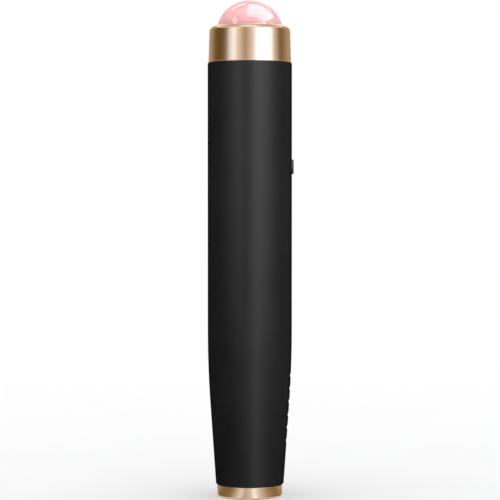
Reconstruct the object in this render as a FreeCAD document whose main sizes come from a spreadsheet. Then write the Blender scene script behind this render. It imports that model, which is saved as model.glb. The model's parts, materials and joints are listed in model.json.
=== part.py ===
import FreeCAD, Part
import math
import os
from types import SimpleNamespace

import Sketcher

# Facial massage pen: a rolling stone ball in a gold collar, on a slim barrel that holds the motor, the board
# and one cell behind a screwed end cap. Millimetres, +Z up along the pen, origin in the middle of the end
# cap's flat base, button towards +X.

doc = FreeCAD.newDocument("massage_pen")

# Driving dimensions
SIZES = {
    # Stone ball and what holds it
    "ball_diameter": 18.0,
    "ball_gap": 0.15,
    "seat_gap": 0.1,
    "seat_hole": 8.0,
    "seat_depth": 3.9,
    "seat_rise": 1.0,
    "seat_side_gap": 0.1,
    "rim_above_equator": 2.15,
    "cup_wall": 1.05,
    "cup_floor": 2.6,
    "cup_rim_below_equator": 5.6,
    "skirt_length": 9.1,
    "skirt_wall": 1.1,
    # Gold collar
    "spigot_length": 6.0,
    "spigot_wall": 0.75,
    "collar_step": 0.15,
    "collar_draft": 0.3,
    "collar_edge_radius": 1.3,
    "collar_lip_radius": 0.2,
    # Barrel
    "fit_gap": 0.1,
    "barrel_wall": 1.3,
    "barrel_edge_radius": 0.3,
    "taper_length": 41.2,
    "blend_length": 18.8,
    "tail_wall": 0.8,
    "seal_depth": 1.7,
    # Column of plain grip dashes cut into the drawn-in end
    "dash_count": 6,
    "dash_start": 11.1,
    "dash_pitch": 3.5,
    "dash_width": 1.1,
    "dash_reach": 4.6,
    "dash_depth": 0.15,
    # Screw thread of the end cap
    "thread_length": 5.0,
    "thread_lead": 2.0,
    "thread_depth": 0.45,
    "thread_gap": 0.15,
    "thread_root": 1.0,
    "thread_crest": 0.5,
    "thread_flank_gap": 0.2,
    "thread_inset": 0.4,
    # End cap
    "cap_height": 3.3,
    "cap_step": 0.3,
    "cap_draft": 0.2,
    "cap_seam": 0.1,
    "cap_floor": 1.0,
    "cap_edge_radius": 0.5,
    "plug_wall": 1.6,
    "plug_end_gap": 0.4,
    "seal_section": 0.9,
    "seal_gap": 0.05,
    "liner_thickness": 0.3,
    # Cell, its tube and its contacts
    "cell_diameter": 14.5,
    "cell_length": 50.5,
    "cell_nub_diameter": 5.5,
    "cell_nub_height": 1.0,
    "cell_gap": 0.2,
    "cell_lift": 0.9,
    "cell_load_gap": 0.5,
    "tube_wall": 0.7,
    "strip_thickness": 0.3,
    "strip_width": 2.8,
    "strip_gap": 0.3,
    "contact_thickness": 0.4,
    "contact_width": 6.0,
    "spring_wire": 0.7,
    "spring_side_gap": 0.3,
    "spring_top_diameter": 5.2,
    "spring_pitch": 2.2,
    # Moulded inner frame
    "frame_length": 39.0,
    "frame_gap": 0.2,
    "frame_wall": 1.2,
    "frame_base": 2.0,
    "rib_thickness": 2.0,
    "boss_width": 4.0,
    "boss_height": 3.0,
    # Motor and its off-centre weight
    "motor_diameter": 8.0,
    "motor_length": 15.0,
    "motor_bell_length": 2.0,
    "motor_boss_diameter": 3.0,
    "motor_boss_height": 0.7,
    "motor_stop_thickness": 1.6,
    "sleeve_wall": 0.6,
    "sleeve_length": 12.0,
    "trough_gap": 0.05,
    "shaft_diameter": 1.0,
    "shaft_gap": 0.05,
    "shaft_in_motor": 4.0,
    "weight_diameter": 7.0,
    "weight_hub_diameter": 2.6,
    "weight_length": 5.0,
    "weight_gap": 1.0,
    "weight_clear": 0.3,
    "terminal_size": 1.2,
    "terminal_thickness": 0.4,
    "lead_diameter": 0.9,
    "lead_gap": 0.15,
    "lead_drop": 7.0,
    "lead_bend": 2.0,
    # Board and what is on it
    "board_gap": 0.2,
    "board_thickness": 1.0,
    "board_width": 13.0,
    "board_start": 2.4,
    "board_end": 3.6,
    "chip_offset": 4.0,
    "chip_width": 4.0,
    "chip_length": 5.0,
    "chip_height": 1.0,
    "resistor_count": 4,
    "resistor_width": 1.6,
    "resistor_length": 0.8,
    "resistor_height": 0.5,
    "resistor_pitch": 1.6,
    "switch_width": 4.5,
    "switch_height": 2.2,
    "screw_diameter": 1.5,
    "screw_length": 5.0,
    "screw_head_diameter": 2.8,
    "screw_head_height": 0.9,
    "screw_slot": 0.4,
    "screw_slot_depth": 0.4,
    "screw_start": 6.0,
    "screw_setback": 3.3,
    # Button
    "button_drop": 27.8,
    "button_diameter": 4.0,
    "button_gap": 0.1,
    "button_proud": 0.45,
    "button_dish": 0.12,
    "button_land": 0.25,
    "button_edge_radius": 0.12,
    "button_lip": 0.8,
    "button_flange_thickness": 0.8,
    "button_travel": 0.3,
    "plunger_diameter": 2.2,
    "plunger_length": 0.7,
    "plunger_inside": 0.3,
    "plunger_gap": 0.1,
}

sheet = doc.addObject("Spreadsheet::Sheet", "Sizes")
for row, (alias, amount) in enumerate(SIZES.items(), start=1):
    sheet.set(f"A{row}", alias)
    sheet.set(f"B{row}", str(amount))
    sheet.setAlias(f"B{row}", alias)
doc.recompute()


class Measure:
    """A length that knows its value and the expression that works it out from the sheet."""

    def __init__(self, value, text):
        self.value = value
        self.text = text

    def __add__(self, other):
        return Measure(self.value + other.value, f"({self.text} + {other.text})")

    def __sub__(self, other):
        return Measure(self.value - other.value, f"({self.text} - {other.text})")

    def __mul__(self, factor):
        return Measure(self.value * factor, f"({self.text} * {factor})")

    def __truediv__(self, factor):
        return Measure(self.value / factor, f"({self.text} / {factor})")

    def __neg__(self):
        return Measure(-self.value, f"(-{self.text})")

    def squared(self):
        return Measure(self.value**2, f"({self.text} ^ 2)")

    def root(self):
        return Measure(math.sqrt(self.value), f"sqrt({self.text})")

    def over(self, other):
        return Measure(self.value / other.value, f"({self.text} / {other.text})")


def lesser(one, other):
    """The smaller of two measures."""
    return Measure(min(one.value, other.value), f"min({one.text}; {other.text})")


AXIS = Measure(0.0, "0")
size = SimpleNamespace(**{alias: Measure(amount, f"Sizes.{alias}") for alias, amount in SIZES.items()})

# Radii at the head, worked outwards from the ball
BALL_R = size.ball_diameter / 2
COLLAR_BORE_R = BALL_R + size.ball_gap
SPIGOT_R = COLLAR_BORE_R + size.spigot_wall
BARREL_BORE_R = SPIGOT_R + size.fit_gap
BARREL_R = BARREL_BORE_R + size.barrel_wall
COLLAR_BASE_R = BARREL_R - size.collar_step
COLLAR_TOP_R = COLLAR_BASE_R - size.collar_draft
COLLAR_LIP_R = (COLLAR_BORE_R.squared() - size.rim_above_equator.squared()).root()
CUP_R = COLLAR_BORE_R - size.fit_gap
CUP_BORE_R = CUP_R - size.cup_wall
FRAME_R = BARREL_BORE_R - size.frame_gap
FRAME_BORE_R = FRAME_R - size.frame_wall
SKIRT_R = FRAME_R - size.fit_gap
SKIRT_BORE_R = SKIRT_R - size.skirt_wall

# Radii at the tail, worked outwards from the cell
CELL_R = size.cell_diameter / 2
TUBE_BORE_R = CELL_R + size.cell_gap
TUBE_R = TUBE_BORE_R + size.tube_wall
TAIL_BORE_R = TUBE_R + size.fit_gap
THREAD_MINOR_R = CELL_R + size.cell_load_gap
THREAD_MAJOR_R = THREAD_MINOR_R + size.thread_depth
SEAL_BORE_R = THREAD_MAJOR_R + size.fit_gap
TAIL_R = SEAL_BORE_R + size.tail_wall
PLUG_R = THREAD_MINOR_R - size.thread_gap
PLUG_BORE_R = PLUG_R - size.plug_wall
RIDGE_R = THREAD_MAJOR_R - size.thread_gap
LINER_BORE_R = PLUG_BORE_R - size.liner_thickness
CAP_TOP_R = TAIL_R - size.cap_step
CAP_BASE_R = CAP_TOP_R - size.cap_draft

# Heights, stacked from the end cap up to the rim round the ball
Z_CAP_TOP = size.cap_height - size.cap_seam
Z_LINER = size.cap_floor + size.liner_thickness
Z_TAIL = size.cap_height
Z_THREAD = Z_TAIL + size.seal_depth
Z_STEP = Z_THREAD + size.thread_length
Z_PLUG_TOP = Z_STEP - size.plug_end_gap
Z_TUBE = Z_STEP + size.strip_thickness
Z_CELL = Z_TUBE + size.cell_lift
Z_CONTACT = Z_CELL + size.cell_length
Z_FRAME = Z_CONTACT + size.contact_thickness
Z_FRAME_TOP = Z_FRAME + size.frame_length
Z_SPIGOT = Z_FRAME_TOP + size.skirt_length
Z_BARREL_TOP = Z_SPIGOT + size.spigot_length
Z_SEAT = Z_SPIGOT + size.seat_rise
Z_BALL = Z_SEAT + size.seat_depth + BALL_R
Z_CUP_RIM = Z_BALL - size.cup_rim_below_equator
Z_RIM = Z_BALL + size.rim_above_equator

# Heights of the bend in the barrel's side, of the button and of the motor that hangs under the cup
Z_TAPER = Z_TAIL + size.taper_length
Z_BLEND = Z_TAPER - size.blend_length
Z_BUTTON = Z_BARREL_TOP - size.button_drop
Z_CUP_UNDER = Z_SEAT - size.cup_floor
Z_WEIGHT_TOP = Z_CUP_UNDER - size.weight_gap
Z_WEIGHT = Z_WEIGHT_TOP - size.weight_length
Z_MOTOR_BOSS = Z_WEIGHT - size.weight_clear
Z_MOTOR_TOP = Z_MOTOR_BOSS - size.motor_boss_height
Z_SHAFT = Z_MOTOR_TOP - size.shaft_in_motor
Z_MOTOR = Z_MOTOR_TOP - size.motor_length
Z_BELL = Z_MOTOR - size.motor_bell_length
Z_STOP = Z_BELL - size.motor_stop_thickness
Z_SCREWS = (Z_FRAME + size.screw_start, Z_STOP - size.screw_setback)
Z_SOLDER = Z_SCREWS[0] - size.boss_height / 2 - size.contact_thickness
Z_CHIP = (Z_SCREWS[0] + Z_SCREWS[1]) / 2

# Distances out from the axis towards the button, worked inwards from the barrel's bore
BUTTON_R = size.button_diameter / 2
FLANGE_R = BUTTON_R + size.button_lip
X_FLANGE = (BARREL_BORE_R.squared() - FLANGE_R.squared()).root() - size.button_gap
X_BUTTON_BACK = X_FLANGE - size.button_flange_thickness
X_BUTTON_FACE = BARREL_R + size.button_proud
X_SWITCH = X_BUTTON_BACK - size.plunger_length
X_BOARD_FACE = X_SWITCH - size.switch_height
X_BOARD = X_BOARD_FACE - size.board_thickness
SLEEVE_R = size.motor_diameter / 2 + size.sleeve_wall
X_MOTOR = X_BOARD - size.board_gap - SLEEVE_R
X_STRIP = TUBE_BORE_R + size.cell_gap / 2

# Sideways place of the motor's leads, which pass the screw bosses
LEAD_R = size.lead_diameter / 2
Y_LEAD = size.boss_width / 2 + size.lead_gap + LEAD_R


# Drawing


def plane_of(body, role):
    """One of a body's own origin planes."""
    return next(plane for plane in body.Origin.OriginFeatures if plane.Role == role)


def sketch_on(body, name, role):
    """An empty sketch on one of a body's origin planes."""
    sketch = body.newObject("Sketcher::SketchObject", name)
    sketch.AttachmentSupport = (plane_of(body, role), "")
    sketch.MapMode = "FlatFace"
    return sketch


def hold(sketch, kind, geometry, point, measure, name):
    """Ties one coordinate of a sketch's point to a measure."""
    if measure is AXIS:
        axis = {"DistanceX": -2, "DistanceY": -1}[kind]
        sketch.addConstraint(Sketcher.Constraint("PointOnObject", geometry, point, axis))
        return
    held = sketch.addConstraint(Sketcher.Constraint(kind, -1, 1, geometry, point, measure.value))
    sketch.renameConstraint(held, name)
    sketch.setExpression(f"Constraints.{name}", measure.text)


def circle_on(sketch, across, up, radius):
    """A circle whose centre and radius follow measures."""
    centre = FreeCAD.Vector(across.value, up.value, 0)
    sketch.addGeometry(Part.Circle(centre, FreeCAD.Vector(0, 0, 1), radius.value))
    hold(sketch, "DistanceX", 0, 3, across, "across")
    hold(sketch, "DistanceY", 0, 3, up, "up")
    held = sketch.addConstraint(Sketcher.Constraint("Radius", 0, radius.value))
    sketch.renameConstraint(held, "radius")
    sketch.setExpression("Constraints.radius", radius.text)


def arc_between(start, end, centre):
    """The shorter arc between two points round a centre, and whether it runs from end to start."""
    first = math.atan2(start[1] - centre[1], start[0] - centre[0])
    last = math.atan2(end[1] - centre[1], end[0] - centre[0])
    backwards = (last - first) % (2 * math.pi) > math.pi
    radius = math.hypot(start[0] - centre[0], start[1] - centre[1])
    circle = Part.Circle(FreeCAD.Vector(*centre, 0), FreeCAD.Vector(0, 0, 1), radius)
    if backwards:
        return Part.ArcOfCircle(circle, last, first), True
    return Part.ArcOfCircle(circle, first, last), False


class Bend:
    """A corner that a smooth arc places: only its height is held, and it starts out at a guess."""

    def __init__(self, guess):
        self.value = guess


SMOOTH = "smooth"


def outline(sketch, corners, arcs=None, closed=True):
    """Draws sides through corners, each an (across, up) pair. arcs maps a side's number to the centre of its
    arc, or to SMOOTH for an arc that runs on from the sides next to it."""
    arcs = arcs or {}
    points = [(across.value, up.value) for across, up in corners]
    count = len(points) if closed else len(points) - 1
    ends = []
    for side in range(count):
        start, end = points[side], points[(side + 1) % len(points)]
        if side not in arcs:
            sketch.addGeometry(Part.LineSegment(FreeCAD.Vector(*start, 0), FreeCAD.Vector(*end, 0)))
            ends.append((1, 2))
            continue
        if arcs[side] is SMOOTH:
            run, rise = end[0] - start[0], end[1] - start[1]
            centre = (end[0] - (run**2 + rise**2) / (2 * run), end[1])
        else:
            centre = tuple(part.value for part in arcs[side])
        arc, backwards = arc_between(start, end, centre)
        sketch.addGeometry(arc)
        ends.append((2, 1) if backwards else (1, 2))
    for side in range(count if closed else count - 1):
        after = (side + 1) % count
        smooth = SMOOTH in (arcs.get(side), arcs.get(after))
        kind = "Tangent" if smooth else "Coincident"
        sketch.addConstraint(Sketcher.Constraint(kind, side, ends[side][1], after, ends[after][0]))
    for side, centre in arcs.items():
        if centre is not SMOOTH:
            hold(sketch, "DistanceX", side, 3, centre[0], f"centre_{side}")
    for index, (across, up) in enumerate(corners):
        side, point = (index, ends[index][0]) if index < count else (index - 1, ends[index - 1][1])
        if not isinstance(across, Bend):
            hold(sketch, "DistanceX", side, point, across, f"across_{index}")
        hold(sketch, "DistanceY", side, point, up, f"up_{index}")
    doc.recompute()
    return sketch


def turned(label, corners, axis="V_Axis", arcs=None):
    """A body turned about an axis from an outline of half its section."""
    body = doc.addObject("PartDesign::Body", label)
    section = outline(sketch_on(body, f"{label}_section", "XZ_Plane"), corners, arcs)
    turning = body.newObject("PartDesign::Revolution", f"{label}_turning")
    turning.Profile = section
    turning.ReferenceAxis = (section, [axis])
    turning.Angle = 360
    doc.recompute()
    return body


def ring(label, outer, inner, low, high):
    """A plain ring."""
    return turned(label, [(inner, low), (outer, low), (outer, high), (inner, high)])


def rounded(body, radius, rims):
    """Rounds the edges that circle a turned body at the given radii and heights."""
    base = body.Tip
    names = []
    for index, edge in enumerate(base.Shape.Edges, start=1):
        for rim_radius, height in rims:
            is_circle = isinstance(edge.Curve, Part.Circle)
            if not is_circle or abs(edge.Curve.Radius - rim_radius.value) > 1e-4:
                continue
            if abs(edge.Curve.Center.z - height.value) < 1e-4:
                names.append(f"Edge{index}")
    fillet = body.newObject("PartDesign::Fillet", f"{body.Name}_round")
    fillet.Base = (base, names)
    fillet.setExpression("Radius", radius.text)
    doc.recompute()
    return body


def wound(body, kind, section, pitch, height):
    """Winds a section round a turned body's axis as a ridge or a groove."""
    before = body.Shape.Volume
    winding = body.newObject(kind, f"{body.Name}_winding")
    winding.Profile = section
    winding.ReferenceAxis = (section, ["V_Axis"])
    winding.Mode = "pitch-height-angle"
    winding.setExpression("Pitch", pitch.text)
    winding.setExpression("Height", height.text)
    doc.recompute()
    change = body.Shape.Volume - before
    if (change < 0) != (kind == "PartDesign::SubtractiveHelix") or abs(change) < 1e-6:
        raise RuntimeError(f"the winding of {body.Label} changed nothing")
    return body


# Primitives and cuts


def place(item, x=AXIS, y=AXIS, z=AXIS):
    """Ties a piece's position to measures."""
    for name, measure in (("x", x), ("y", y), ("z", z)):
        item.setExpression(f"Placement.Base.{name}", measure.text)
    return item


def block(label, low, extent):
    """A box from its lowest corner and its extent."""
    item = doc.addObject("Part::Box", label)
    for name, measure in zip(("Length", "Width", "Height"), extent):
        item.setExpression(name, measure.text)
    return place(item, *low)


def rod(label, radius, length, start):
    """A round rod that stands up from a point."""
    item = doc.addObject("Part::Cylinder", label)
    item.setExpression("Radius", radius.text)
    item.setExpression("Height", length.text)
    return place(item, *start)


def outward_rod(label, radius, length, start):
    """A round rod that runs from a point out towards the button's side."""
    item = rod(label, radius, length, start)
    item.Placement.Rotation = FreeCAD.Rotation(FreeCAD.Vector(0, 1, 0), 90)
    return item


def ball(label, radius, height):
    """A ball on the pen's axis."""
    item = doc.addObject("Part::Sphere", label)
    item.setExpression("Radius", radius.text)
    return place(item, z=height)


def joined(label, *pieces):
    """One solid from several that meet."""
    item = doc.addObject("Part::MultiFuse", label)
    item.Shapes = list(pieces)
    return item


def cut(label, base, *tools):
    """A piece with one or more tools taken out of it."""
    item = doc.addObject("Part::Cut", label)
    item.Base = base
    item.Tool = tools[0] if len(tools) == 1 else joined(f"{label}_tools", *tools)
    return item


def group(label, pieces):
    """Separate solids that share a node."""
    item = doc.addObject("Part::Compound", label)
    item.Links = pieces
    return item


# Head: ball, seat, cup and collar


def roller_ball():
    """Polished stone ball, kept in by the rim just above its middle."""
    return ball("roller_ball", BALL_R, Z_BALL)


def ball_seat():
    """Slippery ring, dished to fit the ball and free to turn about the pen's axis in its cup."""
    blank = ring("ball_seat_blank", CUP_BORE_R - size.seat_side_gap, size.seat_hole / 2, Z_SEAT, Z_CUP_RIM)
    return cut("ball_seat", blank, ball("ball_seat_dish", BALL_R + size.seat_gap, Z_BALL))


def socket_cup():
    """Cup that carries the seat; its skirt stands on the inner frame, round the spinning weight."""
    corners = [
        (AXIS, Z_CUP_UNDER),
        (SKIRT_BORE_R, Z_CUP_UNDER),
        (SKIRT_BORE_R, Z_FRAME_TOP),
        (SKIRT_R, Z_FRAME_TOP),
        (SKIRT_R, Z_SPIGOT),
        (CUP_R, Z_SPIGOT),
        (CUP_R, Z_CUP_RIM),
        (CUP_BORE_R, Z_CUP_RIM),
        (CUP_BORE_R, Z_SEAT),
        (AXIS, Z_SEAT),
    ]
    return turned("socket_cup", corners)


def ball_collar():
    """Gold collar: its bore closes in above the ball's middle, and its spigot fills the barrel's mouth."""
    corners = [
        (COLLAR_BORE_R, Z_SPIGOT),
        (SPIGOT_R, Z_SPIGOT),
        (SPIGOT_R, Z_BARREL_TOP),
        (COLLAR_BASE_R, Z_BARREL_TOP),
        (COLLAR_TOP_R, Z_RIM),
        (COLLAR_LIP_R, Z_RIM),
        (COLLAR_BORE_R, Z_BALL),
    ]
    body = turned("ball_collar", corners, arcs={5: (AXIS, Z_BALL)})
    land = COLLAR_TOP_R - COLLAR_LIP_R - size.collar_lip_radius * 2
    rounded(body, lesser(size.collar_edge_radius, land), [(COLLAR_TOP_R, Z_RIM)])
    return rounded(body, size.collar_lip_radius, [(COLLAR_LIP_R, Z_RIM)])


# Barrel


def barrel_side(inset):
    """The barrel's outside from tail to mouth, drawn in by an inset: straight, bent inwards, then a cone."""
    lean = (BARREL_R - TAIL_R).over(size.taper_length - size.blend_length / 2)
    bend = BARREL_R.value - inset.value - size.blend_length.value * math.tan(lean.value / 2)
    return [
        (TAIL_R - inset, Z_TAIL),
        (Bend(bend), Z_BLEND),
        (BARREL_R - inset, Z_TAPER),
        (BARREL_R - inset, Z_BARREL_TOP),
    ]


def thread_section(body, inner, outer, middle, gap):
    """Section of a thread, wider at its root, that overlaps the surface that it stands on or is cut from."""
    root, crest = size.thread_root / 2 + gap, size.thread_crest / 2 + gap
    base = inner - size.fit_gap
    corners = [(base, middle - root), (outer, middle - crest), (outer, middle + crest), (base, middle + root)]
    return outline(sketch_on(body, f"{body.Name}_thread", "XZ_Plane"), corners)


Z_RIDGE = Z_THREAD + size.thread_inset + size.thread_root / 2


def barrel_blank():
    """Moulded tube, bored in steps, with a thread at the tail whose groove runs out at both ends."""
    corners = [
        (SEAL_BORE_R, Z_TAIL),
        *barrel_side(AXIS),
        (BARREL_BORE_R, Z_BARREL_TOP),
        (BARREL_BORE_R, Z_TAPER),
        (TAIL_BORE_R, Z_STEP),
        (THREAD_MINOR_R, Z_STEP),
        (THREAD_MINOR_R, Z_THREAD),
        (SEAL_BORE_R, Z_THREAD),
    ]
    body = turned("barrel_blank", corners, arcs={2: SMOOTH})
    edge = lesser(size.barrel_edge_radius, size.tail_wall / 2)
    rounded(body, edge, [(BARREL_R, Z_BARREL_TOP), (TAIL_R, Z_TAIL)])
    start = Z_RIDGE - size.thread_lead
    section = thread_section(body, THREAD_MINOR_R, THREAD_MAJOR_R, start, size.thread_flank_gap)
    run = size.thread_length + size.thread_lead * 2
    return wound(body, "PartDesign::SubtractiveHelix", section, size.thread_lead, run)


def grip_dashes():
    """Plain dashes with round ends, cut to one depth into the drawn-in end on the button's side."""
    floor = turned(
        "dash_floor",
        [(AXIS, Z_TAIL), *barrel_side(size.dash_depth), (AXIS, Z_BARREL_TOP)],
        arcs={2: SMOOTH},
    )
    half = (size.dash_reach - size.dash_width) / 2
    past = BARREL_R + size.dash_depth
    bars = []
    for index in range(SIZES["dash_count"]):
        low = Z_TAIL + size.dash_start + size.dash_pitch * index
        bars.append(block(f"dash_{index}", (AXIS, -half, low), (past, half * 2, size.dash_width)))
        for name, side in (("left", -half), ("right", half)):
            end = (AXIS, side, low + size.dash_width / 2)
            bars.append(outward_rod(f"dash_{index}_{name}", size.dash_width / 2, past, end))
    return cut("grip_dashes", joined("dash_bars", *bars), floor)


def barrel():
    """Barrel with its button hole and its grip dashes."""
    hole = outward_rod("button_hole", BUTTON_R + size.button_gap, BARREL_R * 2, (AXIS, AXIS, Z_BUTTON))
    return cut("barrel", barrel_blank(), hole, grip_dashes())


# Button, switch and board


def power_button():
    """Round dished push button with a flange that keeps it behind the barrel's wall."""
    land = BUTTON_R - size.button_land
    dish = size.button_dish
    dish_radius = (land.squared() + dish.squared()).over(dish * 2)
    edge = (X_BUTTON_FACE - size.button_edge_radius, BUTTON_R - size.button_edge_radius)
    corners = [
        (X_BUTTON_BACK, AXIS),
        (X_BUTTON_BACK, FLANGE_R),
        (X_FLANGE, FLANGE_R),
        (X_FLANGE, BUTTON_R),
        (edge[0], BUTTON_R),
        (X_BUTTON_FACE, edge[1]),
        (X_BUTTON_FACE, land),
        (X_BUTTON_FACE - dish, AXIS),
    ]
    arcs = {4: edge, 6: (X_BUTTON_FACE - dish + dish_radius, AXIS)}
    return place(turned("power_button", corners, axis="H_Axis", arcs=arcs), z=Z_BUTTON)


def switch_plunger():
    """Plunger of the switch, pressed by the button's back."""
    start = (X_SWITCH - size.plunger_inside, AXIS, Z_BUTTON)
    length = size.plunger_length + size.plunger_inside
    return outward_rod("switch_plunger", size.plunger_diameter / 2, length, start)


def tact_switch():
    """Square push switch on the board, with a well for its plunger."""
    half = size.switch_width / 2
    case = block(
        "switch_case",
        (X_BOARD_FACE, -half, Z_BUTTON - half),
        (size.switch_height, size.switch_width, size.switch_width),
    )
    depth = size.plunger_inside + size.button_travel + size.plunger_gap
    radius = size.plunger_diameter / 2 + size.plunger_gap
    well = outward_rod("switch_well", radius, depth, (X_SWITCH - depth, AXIS, Z_BUTTON))
    return cut("tact_switch", case, well)


def screw_shanks(label):
    """The screws' shanks, as solids or as the holes that they fill."""
    shanks = []
    for index, height in enumerate(Z_SCREWS):
        start = (X_BOARD_FACE - size.screw_length, AXIS, height)
        shanks.append(outward_rod(f"{label}_{index}", size.screw_diameter / 2, size.screw_length, start))
    return shanks


def board_screws():
    """Two slotted screws that hold the board to the frame."""
    screws = []
    for index, (height, shank) in enumerate(zip(Z_SCREWS, screw_shanks("screw_shank"))):
        radius = size.screw_head_diameter / 2
        start = (X_BOARD_FACE, AXIS, height)
        head = outward_rod(f"screw_head_{index}", radius, size.screw_head_height, start)
        slot_floor = X_BOARD_FACE + size.screw_head_height - size.screw_slot_depth
        slot = block(
            f"screw_slot_{index}",
            (slot_floor, -radius, height - size.screw_slot / 2),
            (size.screw_slot_depth, radius * 2, size.screw_slot),
        )
        screws.append(cut(f"screw_{index}", joined(f"screw_blank_{index}", shank, head), slot))
    return group("board_screws", screws)


def circuit_board():
    """Board along the frame's flat, from just above the cell to past the switch."""
    low, high = Z_FRAME + size.board_start, Z_FRAME_TOP - size.board_end
    plate = block(
        "board_plate",
        (X_BOARD, -size.board_width / 2, low),
        (size.board_thickness, size.board_width, high - low),
    )
    return cut("circuit_board", plate, *screw_shanks("board_hole"))


def on_board(label, across, up, width, length, height):
    """A small flat component on the board's face."""
    return block(label, (X_BOARD_FACE, across - width / 2, up - length / 2), (height, width, length))


def control_chip():
    """Chip that drives the motor."""
    sides = (size.chip_width, size.chip_length, size.chip_height)
    return on_board("control_chip", size.chip_offset, Z_CHIP, *sides)


def chip_resistors():
    """Small resistors in a column on the other side of the board from the chip."""
    found = []
    count = SIZES["resistor_count"]
    for index in range(count):
        up = Z_CHIP + size.resistor_pitch * (index - (count - 1) / 2)
        sides = (size.resistor_width, size.resistor_length, size.resistor_height)
        found.append(on_board(f"resistor_{index}", -size.chip_offset, up, *sides))
    return group("chip_resistors", found)


# Motor


def motor_can():
    """Round motor with a raised bearing where the shaft comes out."""
    radius, boss = size.motor_diameter / 2, size.motor_boss_diameter / 2
    bore = size.shaft_diameter / 2 + size.shaft_gap
    floor = Z_SHAFT - size.shaft_gap
    corners = [
        (AXIS, Z_MOTOR),
        (radius, Z_MOTOR),
        (radius, Z_MOTOR_TOP),
        (boss, Z_MOTOR_TOP),
        (boss, Z_MOTOR_BOSS),
        (bore, Z_MOTOR_BOSS),
        (bore, floor),
        (AXIS, floor),
    ]
    return place(turned("motor_can", corners), x=X_MOTOR)


def motor_end_bell():
    """Plastic end of the motor that carries its terminals."""
    return rod("motor_end_bell", size.motor_diameter / 2, size.motor_bell_length, (X_MOTOR, AXIS, Z_BELL))


def motor_terminals():
    """Two solder tabs under the motor."""
    tabs = []
    width, thickness = size.terminal_size, size.terminal_thickness
    for name, side in (("left", -Y_LEAD), ("right", Y_LEAD)):
        low = (X_MOTOR - width / 2, side - thickness / 2, Z_BELL - width)
        tabs.append(block(f"terminal_{name}", low, (width, thickness, width)))
    return group("motor_terminals", tabs)


def motor_sleeve():
    """Rubber sleeve that grips the motor in the frame's trough."""
    low = Z_MOTOR + (size.motor_length - size.sleeve_length) / 2
    body = ring("motor_sleeve", SLEEVE_R, size.motor_diameter / 2, low, low + size.sleeve_length)
    return place(body, x=X_MOTOR)


def motor_shaft():
    """Shaft of the motor, which carries the weight."""
    return rod("motor_shaft", size.shaft_diameter / 2, Z_WEIGHT_TOP - Z_SHAFT, (X_MOTOR, AXIS, Z_SHAFT))


def eccentric_weight():
    """Half-round weight on a hub, pressed on the shaft, that shakes the head as it spins."""
    foot, length, radius = (X_MOTOR, AXIS, Z_WEIGHT), size.weight_length, size.weight_diameter / 2
    half = block("weight_half", (X_MOTOR - radius, AXIS, Z_WEIGHT), (radius * 2, radius, length))
    moon = cut("weight_moon", rod("weight_disc", radius, length, foot), half)
    whole = joined("weight_whole", moon, rod("weight_hub", size.weight_hub_diameter / 2, length, foot))
    return cut("eccentric_weight", whole, rod("weight_bore", size.shaft_diameter / 2, length, foot))


def motor_lead(label, side):
    """One insulated lead: down from its terminal, round a bend and out to the board's back."""
    body = doc.addObject("PartDesign::Body", label)
    drop, bend = size.lead_drop, size.lead_bend
    section = sketch_on(body, f"{label}_section", "XY_Plane")
    circle_on(section, AXIS, AXIS, LEAD_R)
    corners = [(AXIS, AXIS), (AXIS, bend - drop), (bend, -drop), (X_BOARD - X_MOTOR, -drop)]
    centre = (bend, bend - drop)
    route = outline(sketch_on(body, f"{label}_route", "XZ_Plane"), corners, arcs={1: centre}, closed=False)
    pipe = body.newObject("PartDesign::AdditivePipe", f"{label}_pipe")
    pipe.Profile = section
    pipe.Spine = (route, [])
    doc.recompute()
    return place(body, X_MOTOR, side, Z_BELL - size.terminal_size)


# Inner frame, cell and contacts


def inner_frame():
    """Moulded frame: most of a tube, with a flat for the board, a ribbed trough for the motor, and bosses."""
    shell = ring("frame_shell", FRAME_R, FRAME_BORE_R, Z_FRAME, Z_FRAME_TOP)
    rib_r = FRAME_BORE_R + size.fit_gap
    rib = size.rib_thickness
    ribs = [
        rod("frame_floor", rib_r, size.frame_base, (AXIS, AXIS, Z_FRAME)),
        rod("frame_stop", rib_r, size.motor_stop_thickness, (AXIS, AXIS, Z_STOP)),
        rod("frame_low_rib", rib_r, rib, (AXIS, AXIS, Z_MOTOR + rib)),
        rod("frame_high_rib", rib_r, rib, (AXIS, AXIS, Z_MOTOR_TOP - rib * 2)),
    ]
    half = size.boss_width / 2
    for index, height in enumerate(Z_SCREWS):
        low = (-rib_r, -half, height - size.boss_height / 2)
        ribs.append(block(f"frame_boss_{index}", low, (rib_r + X_BOARD, size.boss_width, size.boss_height)))
    flat = block("frame_flat", (X_BOARD, -BARREL_R, Z_FRAME), (BARREL_R, BARREL_R * 2, size.frame_length))
    trough_r, trough_length = SLEEVE_R + size.trough_gap, Z_FRAME_TOP - Z_BELL
    trough = rod("frame_trough", trough_r, trough_length, (X_MOTOR, AXIS, Z_BELL))
    mouth = block("frame_mouth", (X_MOTOR, -trough_r, Z_BELL), (BARREL_R, trough_r * 2, trough_length))
    passage_r = Y_LEAD + LEAD_R + size.lead_gap
    passage = rod("frame_passage", passage_r, size.motor_stop_thickness, (X_MOTOR, AXIS, Z_STOP))
    notch_depth, notch_half = size.contact_thickness + size.fit_gap, size.contact_width / 2 + size.fit_gap
    notch = block(
        "frame_notch",
        (X_BOARD - notch_depth, -notch_half, Z_FRAME),
        (notch_depth, notch_half * 2, size.frame_base),
    )
    whole = joined("frame_whole", shell, *ribs)
    return cut("inner_frame", whole, flat, trough, mouth, passage, notch, *screw_shanks("frame_pilot"))


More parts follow.
